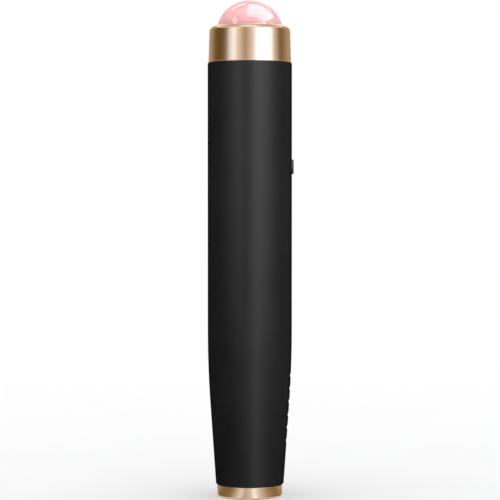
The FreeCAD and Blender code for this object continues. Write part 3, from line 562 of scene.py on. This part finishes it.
# %% Stone ball
BALL_RADIUS = 9.0
BALL_HEIGHT = 124.1
BALL_LEVEL = 6
ball_mesh = bmesh.new()
ball_place = Matrix.Translation((0.0, 0.0, BALL_HEIGHT * MM))
bmesh.ops.create_icosphere(ball_mesh, subdivisions=BALL_LEVEL, radius=BALL_RADIUS * MM, matrix=ball_place)
ball = finish_piece("stone_ball", ball_mesh, "ball", "rose_stone", ["roller_ball"])

# %% [markdown]
# The push button is turned as well, with a flange that keeps it in the barrel and a shallow dish for the
# fingertip. It is drawn upright, round Z, and then laid over so that its axis points to the side, with that
# turn applied to the mesh itself.

# %% Push button
BUTTON_HEIGHT = 88.4
BUTTON_RADIUS = 2.0
BUTTON_FACE = 11.75
BUTTON_EDGE = 0.12
BUTTON_SEGMENTS = 5
FLANGE_RADIUS = 2.8
FLANGE_LOW = 8.7
FLANGE_HIGH = 9.5
DISH_RADIUS = 1.75
DISH_DEPTH = 0.12
DISH_POINTS = 6

dish = []
for step in range(DISH_POINTS + 1):
    share = 1.0 - step / DISH_POINTS
    dish.append((DISH_RADIUS * share, BUTTON_FACE - DISH_DEPTH * (1.0 - share**2)))
BUTTON_SECTION = [
    (0.0, FLANGE_LOW),
    (FLANGE_RADIUS, FLANGE_LOW),
    (FLANGE_RADIUS, FLANGE_HIGH),
    (BUTTON_RADIUS, FLANGE_HIGH),
    (BUTTON_RADIUS, BUTTON_FACE),
    *dish,
]
button_mesh = turned(BUTTON_SECTION, closed=False)
round_ring(button_mesh, BUTTON_RADIUS, BUTTON_FACE, BUTTON_EDGE, BUTTON_SEGMENTS)
button_place = Matrix.Translation((0.0, 0.0, BUTTON_HEIGHT * MM))
laid_over = Matrix.Rotation(math.radians(90), 4, "Y")
bmesh.ops.transform(button_mesh, matrix=button_place @ laid_over, verts=button_mesh.verts)
button = finish_piece("push_button", button_mesh, "button", "button_black", ["power_button"])

# %% [markdown]
# The board's small parts carry metal that the solids leave out. The chip and the switch stand on bent legs:
# each is a path of four points, drawn out to a strip and given a thickness, as a press bends it from sheet.
# Where the parts stand is read from the frame's own boxes, so the legs stay with them if a size changes.
# Each row of legs gives the part, the legs on a side and the height at which they leave the part.

# %% Legs on the board
LEG_WIDTH = 0.4
LEG_SHEET = 0.1
LEG_BEND = 0.14
LEG_LEAN = 0.06
LEG_FOOT = 0.42
LEG_ROWS = [("control_chip", 4, 0.5), ("tact_switch", 2, 0.6)]


def add_leg(mesh, side, root, top, foot, along):
    """A bent leg out of a part's side at y = root, from x = top down to x = foot, in mm."""
    bends = [(top, 0.0), (top, LEG_BEND), (foot, LEG_BEND + LEG_LEAN), (foot, LEG_FOOT)]
    start = along - LEG_WIDTH / 2
    points = [mesh.verts.new((x * MM, (root + side * out) * MM, start * MM)) for x, out in bends]
    path = [mesh.edges.new(pair) for pair in zip(points, points[1:])]
    made = bmesh.ops.extrude_edge_only(mesh, edges=path)
    moved = [item for item in made["geom"] if isinstance(item, bmesh.types.BMVert)]
    bmesh.ops.translate(mesh, verts=moved, vec=(0.0, 0.0, LEG_WIDTH * MM))


legs_mesh = bmesh.new()
for node, count, lift in LEG_ROWS:
    low, high = [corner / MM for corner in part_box(node)]
    for index in range(count):
        along = low.z + (high.z - low.z) * (index + 0.5) / count
        add_leg(legs_mesh, -1, low.y, low.x + lift, low.x + LEG_SHEET, along)
        add_leg(legs_mesh, 1, high.y, low.x + lift, low.x + LEG_SHEET, along)
bmesh.ops.recalc_face_normals(legs_mesh, faces=legs_mesh.faces)
bmesh.ops.solidify(legs_mesh, geom=legs_mesh.faces[:], thickness=LEG_SHEET * MM)
bmesh.ops.recalc_face_normals(legs_mesh, faces=legs_mesh.faces)
finish_piece("board_legs", legs_mesh, "pen", "nickel")

# %% [markdown]
# A chip resistor is a black bead between two tinned ends. Each end is a block that is a hair larger than
# the resistor all round, with its edges rounded, as solder leaves them.

# %% Tinned resistor ends
END_LENGTH = 0.32
END_OVERLAP = 0.02
END_ROUNDING = 0.06
RESISTORS = 4
RESISTOR_LENGTH = 0.8

ends_mesh = bmesh.new()
low, high = [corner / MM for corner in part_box("chip_resistors")]
pitch = (high.z - low.z - RESISTOR_LENGTH) / (RESISTORS - 1)
thick = high.x - low.x + END_OVERLAP
for index in range(RESISTORS):
    along = low.z + RESISTOR_LENGTH / 2 + pitch * index
    for across in (low.y - END_OVERLAP + END_LENGTH / 2, high.y + END_OVERLAP - END_LENGTH / 2):
        middle = Matrix.Translation((low.x * MM + thick * MM / 2, across * MM, along * MM))
        sides = (thick * MM, END_LENGTH * MM, (RESISTOR_LENGTH + 2 * END_OVERLAP) * MM, 1.0)
        bmesh.ops.create_cube(ends_mesh, size=1.0, matrix=middle @ Matrix.Diagonal(sides))
round_edges(ends_mesh, ends_mesh.edges[:], END_ROUNDING, FINE_SEGMENTS)
bmesh.ops.recalc_face_normals(ends_mesh, faces=ends_mesh.faces)
finish_piece("resistor_ends", ends_mesh, "pen", "nickel")

# %% [markdown]
# A tact switch is closed by a square metal cover with a round hole for its plunger and a rivet in each
# corner. A square loop and a round one with as many edges are bridged to a plate, which then gets its
# thickness. It is drawn flat, and a matrix that swaps the axes stands it up on the switch.

# %% Switch cover
COVER_SHEET = 0.12
COVER_MARGIN = 0.1
COVER_HOLE = 1.3
HOLE_STEPS = 32
RIVET_RADIUS = 0.34
RIVET_INSET = 0.55
RIVET_FLATNESS = 0.45
CORNERS = 4

low, high = [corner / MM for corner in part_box("tact_switch")]
half = (high.y - low.y) / 2 - COVER_MARGIN
cover_mesh = bmesh.new()
squared = Matrix.Rotation(math.radians(45), 4, "Z")
bmesh.ops.create_circle(cover_mesh, segments=CORNERS, radius=half * math.sqrt(2) * MM, matrix=squared)
bmesh.ops.subdivide_edges(cover_mesh, edges=cover_mesh.edges[:], cuts=HOLE_STEPS // CORNERS - 1)
bmesh.ops.create_circle(cover_mesh, segments=HOLE_STEPS, radius=COVER_HOLE * MM, matrix=squared)
bmesh.ops.bridge_loops(cover_mesh, edges=cover_mesh.edges[:])
bmesh.ops.recalc_face_normals(cover_mesh, faces=cover_mesh.faces)
bmesh.ops.solidify(cover_mesh, geom=cover_mesh.faces[:], thickness=COVER_SHEET * MM)
rivet_out = (half - RIVET_INSET) * MM
shift = Matrix.Translation((rivet_out, rivet_out, COVER_SHEET * MM))
dome = Matrix.Diagonal((1.0, 1.0, RIVET_FLATNESS, 1.0))
for corner in range(CORNERS):
    turn = Matrix.Rotation(math.radians(90 * corner), 4, "Z")
    bmesh.ops.create_uvsphere(
        cover_mesh, u_segments=20, v_segments=10, radius=RIVET_RADIUS * MM, matrix=turn @ shift @ dome
    )
AXES_SWAPPED = Matrix(((0, 0, 1, 0), (1, 0, 0, 0), (0, 1, 0, 0), (0, 0, 0, 1)))
switch_top = Matrix.Translation((high.x * MM, (low.y + high.y) / 2 * MM, (low.z + high.z) / 2 * MM))
bmesh.ops.transform(cover_mesh, matrix=switch_top @ AXES_SWAPPED, verts=cover_mesh.verts)
bmesh.ops.recalc_face_normals(cover_mesh, faces=cover_mesh.faces)
finish_piece("switch_cover", cover_mesh, "pen", "nickel")

# %% [markdown]
# The stage comes last. Bands of light round the pen are needed several times below, so a helper paints
# them: a radial Gradient texture gives the direction as a number from 0 to 1, and a ramp turns it into light.
# Zero degrees is towards the camera, and positive angles are to its right. Levels above one are divided by
# a gain, which the lamp's strength gives back.
# Most screens are there for polished pieces only, so they are hidden from all rays but mirrored ones. Light
# linking goes further: a group of receivers says which pieces get a lamp's light.

# %% Helpers for the stage
AXIS_FOOT = (0.0, 0.0, 0.0)
COOL = (0.94, 1.0, 1.13)
MILD = (1.0, 0.86, 0.74)
WARM = (1.0, 0.73, 0.50)
DEEP = (1.0, 0.62, 0.15)
PLAIN = (1.0, 1.0, 1.0)


def stage_piece(name, mesh, finish):
    """A floor or a screen: part of the studio, not of the pen."""
    data = bpy.data.meshes.new(name)
    mesh.to_mesh(data)
    mesh.free()
    data.materials.append(finish)
    item = bpy.data.objects.new(name, data)
    bpy.context.scene.collection.objects.link(item)
    return item


def mirrors_only(item):
    """Hides a screen from the camera, from scattered light and from shadows."""
    item.visible_camera = False
    item.visible_diffuse = False
    item.visible_shadow = False


def bands_round(tree, place, bands, gain, socket):
    """Light by direction round the pen: each band is degrees, level and tone."""
    turn = tree.nodes.new("ShaderNodeMapping")
    turn.inputs["Rotation"].default_value = (0.0, 0.0, math.radians(90))
    tree.links.new(place, turn.inputs["Vector"])
    way = tree.nodes.new("ShaderNodeTexGradient")
    way.gradient_type = "RADIAL"
    tree.links.new(turn.outputs["Vector"], way.inputs["Vector"])
    stops = []
    for degrees, level, tone in bands:
        stops.append((degrees / 360 + 0.5, [level * part / gain for part in tone]))
    tints(tree, way.outputs["Fac"], stops, socket).interpolation = "EASE"


def receivers(name, members, left_out=False):
    """A group for light linking: only its members get a light, or all but its members."""
    group = bpy.data.collections.new(name)
    for member in members:
        group.objects.link(member)
    for row in group.collection_objects:
        row.light_linking.link_state = "EXCLUDE" if left_out else "INCLUDE"
    return group


def away_from(tree, place, centre):
    """The distance from a point in metres."""
    gap = tree.nodes.new("ShaderNodeVectorMath")
    gap.operation = "DISTANCE"
    gap.inputs[1].default_value = centre
    tree.links.new(place, gap.inputs[0])
    return gap.outputs["Value"]


def lamp_cloth(name):
    """A material that only glows, with the Object coordinates and the glow to be set."""
    cloth = bpy.data.materials.new(name)
    cloth.use_nodes = True
    tree = cloth.node_tree
    tree.nodes.remove(tree.nodes["Principled BSDF"])
    place = tree.nodes.new("ShaderNodeTexCoord").outputs["Object"]
    glow = tree.nodes.new("ShaderNodeEmission")
    tree.links.new(glow.outputs["Emission"], tree.nodes["Material Output"].inputs["Surface"])
    return cloth, tree, place, glow


def see_through(tree, glow):
    """Lets a glowing sheet add its light to what is behind it."""
    clear = tree.nodes.new("ShaderNodeBsdfTransparent")
    both = tree.nodes.new("ShaderNodeAddShader")
    tree.links.new(glow.outputs["Emission"], both.inputs[0])
    tree.links.new(clear.outputs["BSDF"], both.inputs[1])
    tree.links.new(both.outputs["Shader"], tree.nodes["Material Output"].inputs["Surface"])


# %% [markdown]
# The floor is a pale matt board that keeps the pen's shadow. Away from the pen it fades to plain white, so
# that no horizon shows. The pen stands on its cap, so the floor goes with the cap: when the cap is unscrewed,
# it stays on the floor and the pen rises from it. The world is plain white at a strength of one, which makes
# the background white without any extra light on the pen.

# %% Floor and world
FLOOR_RADIUS = 0.6
FLOOR_TONES = [(0.3, (0.97, 0.973, 0.98)), (0.7, (0.99, 0.993, 1.0))]
FLOOR_CLOUD = 60 * MM
WHITE_FROM = 0.08
WHITE_FULL = 0.45
ROUND_STEPS = 96


def make_floor():
    finish, tree, shader, place = new_finish("pale_floor")
    cloud = grain(tree, place, FLOOR_CLOUD)
    away = away_from(tree, place, AXIS_FOOT)
    white = between(tree, away, 0.0, 1.0, start=WHITE_FROM, end=WHITE_FULL)
    worn_tints(tree, cloud, FLOOR_TONES, white, PLAIN, shader.inputs["Base Color"])
    between(tree, cloud, 0.80, 0.90, shader.inputs["Roughness"])
    shader.inputs["Specular IOR Level"].default_value = 0.0
    return finish


floor_mesh = bmesh.new()
bmesh.ops.create_circle(floor_mesh, cap_ends=True, segments=ROUND_STEPS, radius=FLOOR_RADIUS)
floor = stage_piece("pale_floor", floor_mesh, make_floor())
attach(floor, "cap_carriage")

world = bpy.data.worlds.new("studio")
bpy.context.scene.world = world
world.use_nodes = True
background = world.node_tree.nodes["Background"]
background.inputs["Color"].default_value = (*PLAIN, 1.0)
background.inputs["Strength"].default_value = 1.0
print("floor and world")

# %% [markdown]
# Polished metal is lit by what it mirrors. A round wall of cloth, a light tent, stands about the pen. Lamps
# shine through it on the left and, wider, on the right; between them it stays in half shade, and at the
# flanks it is nearly dark. Its brightness is a ramp round the pen, so every change is soft, as on cloth.
# Higher up the wall is plain half shade. Only mirrored rays see it, and the black pieces are left out.

# %% Light tent
TENT_RADIUS = 2.2
TENT_FOOT = -0.9
TENT_TOP = 3.85
TENT_GAIN = 2.5
SHADE = (0.55, 0.45, 0.36)
SHADE_FROM = 1.5
SHADE_FULL = 1.73
AMBER = (1.0, 0.70, 0.40)
TENT_BANDS = [
    (-180, 1.15, COOL),
    (-168, 1.15, COOL),
    (-158, 0.50, WARM),
    (-148, 0.50, WARM),
    (-100, 0.13, DEEP),
    (-82, 0.13, DEEP),
    (-69, 0.28, AMBER),
    (-57, 0.92, COOL),
    (-45, 1.30, COOL),
    (-32, 0.80, MILD),
    (-12, 0.40, WARM),
    (1, 0.66, MILD),
    (14, 0.95, COOL),
    (24, 2.25, COOL),
    (40, 2.00, COOL),
    (59, 1.60, COOL),
    (73, 0.62, MILD),
    (94, 0.20, DEEP),
    (135, 0.46, WARM),
    (158, 0.50, WARM),
    (168, 1.15, COOL),
    (180, 1.15, COOL),
]


def make_tent():
    cloth, tree, place, glow = lamp_cloth("tent_cloth")
    mix = tree.nodes.new("ShaderNodeMix")
    mix.data_type = "RGBA"
    mix.inputs["B"].default_value = (*SHADE, 1.0)
    bands_round(tree, place, TENT_BANDS, TENT_GAIN, mix.inputs["A"])
    height = height_of(tree, place)
    between(tree, height, 0.0, 1.0, mix.inputs["Factor"], start=SHADE_FROM, end=SHADE_FULL)
    glow.inputs["Strength"].default_value = TENT_GAIN
    tree.links.new(mix.outputs["Result"], glow.inputs["Color"])
    return cloth


def spun_screen(name, profile, cloth):
    """A screen round the pen, spun from a profile of (radius, height) points in metres."""
    mesh = bmesh.new()
    points = [mesh.verts.new((radius, 0.0, height)) for radius, height in profile]
    sides = [mesh.edges.new(pair) for pair in zip(points, points[1:])]
    bmesh.ops.spin(
        mesh,
        geom=points + sides,
        cent=(0.0, 0.0, 0.0),
        axis=(0.0, 0.0, 1.0),
        angle=math.tau,
        steps=ROUND_STEPS,
        use_merge=True,
    )
    screen = stage_piece(name, mesh, cloth)
    mirrors_only(screen)
    return screen


tent = spun_screen("light_tent", [(TENT_RADIUS, TENT_FOOT), (TENT_RADIUS, TENT_TOP)], make_tent())
black_pieces = [pieces["barrel"], button]
tent.light_linking.receiver_collection = receivers("all_but_black", black_pieces, left_out=True)
print("light tent with", len(TENT_BANDS), "bands")

# %% [markdown]
# The black coat mirrors too, only much less, and there the gold's warm and cool bands would look like
# stains. So the tent leaves the black pieces out, and they get a plain white screen of their own: a wall
# close to the pen, with a soft lamp to the left and a stronger one just right of the middle. Lower down the
# left lamp dies away and the right one grows narrow. The wall adds its light to what is behind it, so the
# gold sees through. The little light that the coat scatters comes partly from this wall too.

# %% Screen for the black coat
SCREEN_RADIUS = 0.15
SCREEN_FOOT = 0.001
SCREEN_TOP = 0.45
SCREEN_GAIN = 2.0
FULL_FROM = 0.125
HIGH_BANDS = [
    (-180, 1.30, PLAIN),
    (-162, 0.30, PLAIN),
    (-142, 0.14, PLAIN),
    (-120, 0.10, PLAIN),
    (-98, 0.07, PLAIN),
    (-76, 0.13, PLAIN),
    (-56, 0.42, PLAIN),
    (-40, 0.80, PLAIN),
    (-27, 0.95, PLAIN),
    (-11, 0.42, PLAIN),
    (2, 0.62, PLAIN),
    (16, 1.70, PLAIN),
    (27, 1.58, PLAIN),
    (45, 1.34, PLAIN),
    (64, 0.66, PLAIN),
    (84, 0.34, PLAIN),
    (109, 0.27, PLAIN),
    (125, 0.30, PLAIN),
    (145, 0.50, PLAIN),
    (162, 1.20, PLAIN),
    (180, 1.30, PLAIN),
]
LOW_BANDS = [
    (-180, 0.90, PLAIN),
    (-162, 0.25, PLAIN),
    (-142, 0.10, PLAIN),
    (-120, 0.05, PLAIN),
    (-76, 0.05, PLAIN),
    (-56, 0.08, PLAIN),
    (-40, 0.14, PLAIN),
    (-27, 0.17, PLAIN),
    (-11, 0.32, PLAIN),
    (2, 0.48, PLAIN),
    (17, 0.95, PLAIN),
    (28, 0.62, PLAIN),
    (45, 0.40, PLAIN),
    (64, 0.28, PLAIN),
    (84, 0.24, PLAIN),
    (109, 0.20, PLAIN),
    (135, 0.26, PLAIN),
    (162, 0.70, PLAIN),
    (180, 0.90, PLAIN),
]


def make_screen():
    cloth, tree, place, glow = lamp_cloth("screen_cloth")
    mix = tree.nodes.new("ShaderNodeMix")
    mix.data_type = "RGBA"
    bands_round(tree, place, LOW_BANDS, SCREEN_GAIN, mix.inputs["A"])
    bands_round(tree, place, HIGH_BANDS, SCREEN_GAIN, mix.inputs["B"])
    height = height_of(tree, place)
    between(tree, height, 0.0, 1.0, mix.inputs["Factor"], start=0.0, end=FULL_FROM)
    tree.links.new(mix.outputs["Result"], glow.inputs["Color"])
    glow.inputs["Strength"].default_value = SCREEN_GAIN
    see_through(tree, glow)
    return cloth


black_only = receivers("black_only", black_pieces)
screen_side = [(SCREEN_RADIUS, SCREEN_FOOT), (SCREEN_RADIUS, SCREEN_TOP)]
screen = spun_screen("black_screen", screen_side, make_screen())
screen.visible_diffuse = True
screen.light_linking.receiver_collection = black_only
print("screen with", len(HIGH_BANDS), "and", len(LOW_BANDS), "bands")

# %% [markdown]
# The lower half of the pen mirrors the floor. A white floor in it would make the black grey and the gold
# flat, so three thin sheets lie on the floor, each seen by mirrors only. The lowest shows the black pieces
# their screen, carried on to the foot, and hides the floor. The next shows the end cap its own bands,
# narrower than the tent's because the floor is so near. The last carries the tent's bands on along the floor
# for all else, so that the collar looks like gold from above too.

# %% Sheets on the floor
SHEET_INNER = 0.009
SHEET_STEP = 0.0001
SCREEN_REACH = [(0.02, (0.60, 0.60, 0.60)), (0.10, PLAIN), (0.145, PLAIN), (0.155, (0.0, 0.0, 0.0))]
CAP_GAIN = 1.5
CAP_BANDS = [
    (-180, 1.05, COOL),
    (-160, 1.05, COOL),
    (-140, 0.45, WARM),
    (-118, 0.38, WARM),
    (-78, 0.23, (1.0, 0.66, 0.26)),
    (-62, 0.23, (1.0, 0.66, 0.26)),
    (-47, 0.32, (1.0, 0.66, 0.38)),
    (-35, 0.57, (1.0, 0.80, 0.63)),
    (-23, 0.88, (1.0, 0.92, 0.87)),
    (-11, 0.58, (1.0, 0.80, 0.69)),
    (0, 0.70, (1.0, 0.89, 0.78)),
    (11, 1.12, COOL),
    (23, 0.70, (1.0, 0.91, 0.85)),
    (36, 0.54, (1.0, 0.75, 0.60)),
    (48, 0.38, (1.0, 0.67, 0.40)),
    (62, 0.28, (1.0, 0.63, 0.30)),
    (78, 0.27, (1.0, 0.64, 0.32)),
    (98, 0.40, (1.0, 0.67, 0.40)),
    (125, 0.48, WARM),
    (160, 1.05, COOL),
    (180, 1.05, COOL),
]


def make_black_sheet():
    """Light as at the screen's foot, which ends where the screen stands."""
    cloth, tree, place, glow = lamp_cloth("black_sheet")
    bands_round(tree, place, LOW_BANDS, 1.0, glow.inputs["Color"])
    tints(tree, away_from(tree, place, AXIS_FOOT), SCREEN_REACH, glow.inputs["Strength"])
    return cloth


def make_band_sheet(name, bands, gain):
    """Bands of light that let the floor show through."""
    cloth, tree, place, glow = lamp_cloth(name)
    bands_round(tree, place, bands, gain, glow.inputs["Color"])
    glow.inputs["Strength"].default_value = gain
    see_through(tree, glow)
    return cloth


def floor_sheet(name, layer, cloth, group):
    """A ring on the floor that only a group's mirrors see."""
    height = layer * SHEET_STEP
    sheet = spun_screen(name, [(SHEET_INNER, height), (FLOOR_RADIUS, height)], cloth)
    sheet.light_linking.receiver_collection = group
    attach(sheet, "cap_carriage")
    print(name, "at", round(height / MM, 2), "mm")


cap_only = receivers("cap_only", [cap])
all_others = receivers("all_others", [*black_pieces, cap], left_out=True)
floor_sheet("black_sheet", 1, make_black_sheet(), black_only)
floor_sheet("cap_sheet", 2, make_band_sheet("cap_sheet", CAP_BANDS, CAP_GAIN), cap_only)
floor_sheet("tent_sheet", 3, make_band_sheet("tent_sheet", TENT_BANDS, TENT_GAIN), all_others)

# %% [markdown]
# Inside the tent hangs a ceiling that only mirrors see: a soft glow over the front, half shade elsewhere.
# The collar's crest mirrors it as a bright line with a darker one above it.

# %% Mirrored ceiling
CEILING_HEIGHT = 1.3
CEILING_RADIUS = 1.39
CEILING_GAIN = 1.5
GLOW_CENTRE = (0.0, -0.45, CEILING_HEIGHT)
GLOW_REACH = 0.25
GLOW_END = 0.55
GLOW_LEVEL = (1.15, 1.20, 1.28)
CEILING_LEVEL = (0.60, 0.50, 0.44)


def make_ceiling():
    cloth, tree, place, glow = lamp_cloth("ceiling_cloth")
    stops = []
    for reach, level in [(GLOW_REACH, GLOW_LEVEL), (GLOW_END, CEILING_LEVEL)]:
        stops.append((reach, [part / CEILING_GAIN for part in level]))
    tints(tree, away_from(tree, place, GLOW_CENTRE), stops, glow.inputs["Color"])
    glow.inputs["Strength"].default_value = CEILING_GAIN
    return cloth


ceiling_mesh = bmesh.new()
ceiling_place = Matrix.Translation((0.0, 0.0, CEILING_HEIGHT))
bmesh.ops.create_circle(
    ceiling_mesh, cap_ends=True, segments=ROUND_STEPS, radius=CEILING_RADIUS, matrix=ceiling_place
)
ceiling = stage_piece("ceiling", ceiling_mesh, make_ceiling())
mirrors_only(ceiling)
print("ceiling at", CEILING_HEIGHT, "m")

# %% [markdown]
# Lit cards hang below it for the ball. The large one, to the right, is the pale patch: its corners are set
# one by one, because the patch's edges aren't parallel. Two thin ones behind, on the left, draw a fine arc
# on the ball's shoulder, and one in front is the pale spot low on its left side. A broad one above them lays
# a haze over the middle, which dies away to the left. The last isn't mirrored: it lights the stone softly
# from the right. Each is two edges that are bridged to a sheet, and adds its light to what is behind it.
# Only the stone gets their light, as a photographer flags a lamp from metal that would glare.

# %% Cards above
CARD_HEIGHT = 0.875
HAZE_HEIGHT = 0.9
HAZE_NEAR = [(-0.80, -0.95), (1.15, -0.95)]
HAZE_FAR = [(-0.80, 0.15), (1.15, 0.15)]
HAZE_RISES = (-0.75, -0.30)
stone_only = receivers("stone_only", [ball])


def lit_card(name, near_edge, far_edge, level, height=CARD_HEIGHT, fade=None):
    """A glowing sheet above the pen, between two edges given as (x, y) corners in metres.

    A fade is the pair of x values between which the sheet rises from dark to its level."""
    mesh = bmesh.new()
    near = [mesh.verts.new((x, y, height)) for x, y in near_edge]
    far = [mesh.verts.new((x, y, height)) for x, y in far_edge]
    bmesh.ops.bridge_loops(mesh, edges=[mesh.edges.new(near), mesh.edges.new(far)])
    cloth, tree, place, glow = lamp_cloth(name)
    glow.inputs["Strength"].default_value = level
    if fade:
        across = tree.nodes.new("ShaderNodeSeparateXYZ")
        tree.links.new(place, across.inputs["Vector"])
        between(tree, across.outputs["X"], 0.0, level, glow.inputs["Strength"], start=fade[0], end=fade[1])
    see_through(tree, glow)
    card = stage_piece(name, mesh, cloth)
    mirrors_only(card)
    card.light_linking.receiver_collection = stone_only
    print(name, "level", level)
    return card


lit_card("top_card", [(-0.11, -0.47), (0.95, -0.66)], [(-0.045, 0.35), (1.10, 0.58)], 4.6)
lit_card("arc_card", [(-0.55, 0.42), (-0.09, 0.37)], [(-0.53, 0.52), (-0.09, 0.47)], 7.0)
lit_card("arc_end_card", [(-0.78, 0.20), (-0.48, 0.18)], [(-0.76, 0.32), (-0.50, 0.27)], 3.0)
lit_card("side_card", [(-1.18, -0.77), (-0.69, -0.61)], [(-1.03, -0.23), (-0.685, -0.215)], 3.8)
lit_card("haze_card", HAZE_NEAR, HAZE_FAR, 2.2, height=HAZE_HEIGHT, fade=HAZE_RISES)
fill_card = lit_card("fill_card", [(0.4, -1.4), (1.7, -1.0)], [(0.4, 0.0), (1.7, 0.2)], 0.9)
fill_card.visible_glossy = False
fill_card.visible_diffuse = True

# %% [markdown]
# The camera stands about half a metre away with a long lens, a little above the pen's middle and tilted
# slightly down. That is the view in which the collar's rim shows a shallow curve and the pen fills the
# frame from top to bottom. The view transform is Standard, so colours come out as they are written.

# %% Camera
CAMERA_DISTANCE = 0.542
CAMERA_HEIGHT = 0.0779
CAMERA_SIDE = 0.00005
TILT_DOWN = 1.248
LENS = 145.32
SENSOR = 36.0
view = bpy.data.cameras.new("portrait")
view.lens = LENS
view.sensor_width = SENSOR
camera = bpy.data.objects.new("portrait", view)
bpy.context.scene.collection.objects.link(camera)
camera.location = (CAMERA_SIDE, -CAMERA_DISTANCE, CAMERA_HEIGHT)
camera.rotation_euler = (math.radians(90.0 - TILT_DOWN), 0.0, 0.0)
bpy.context.scene.camera = camera
bpy.context.scene.view_settings.view_transform = "Standard"
print("camera at", [round(v, 4) for v in camera.location])
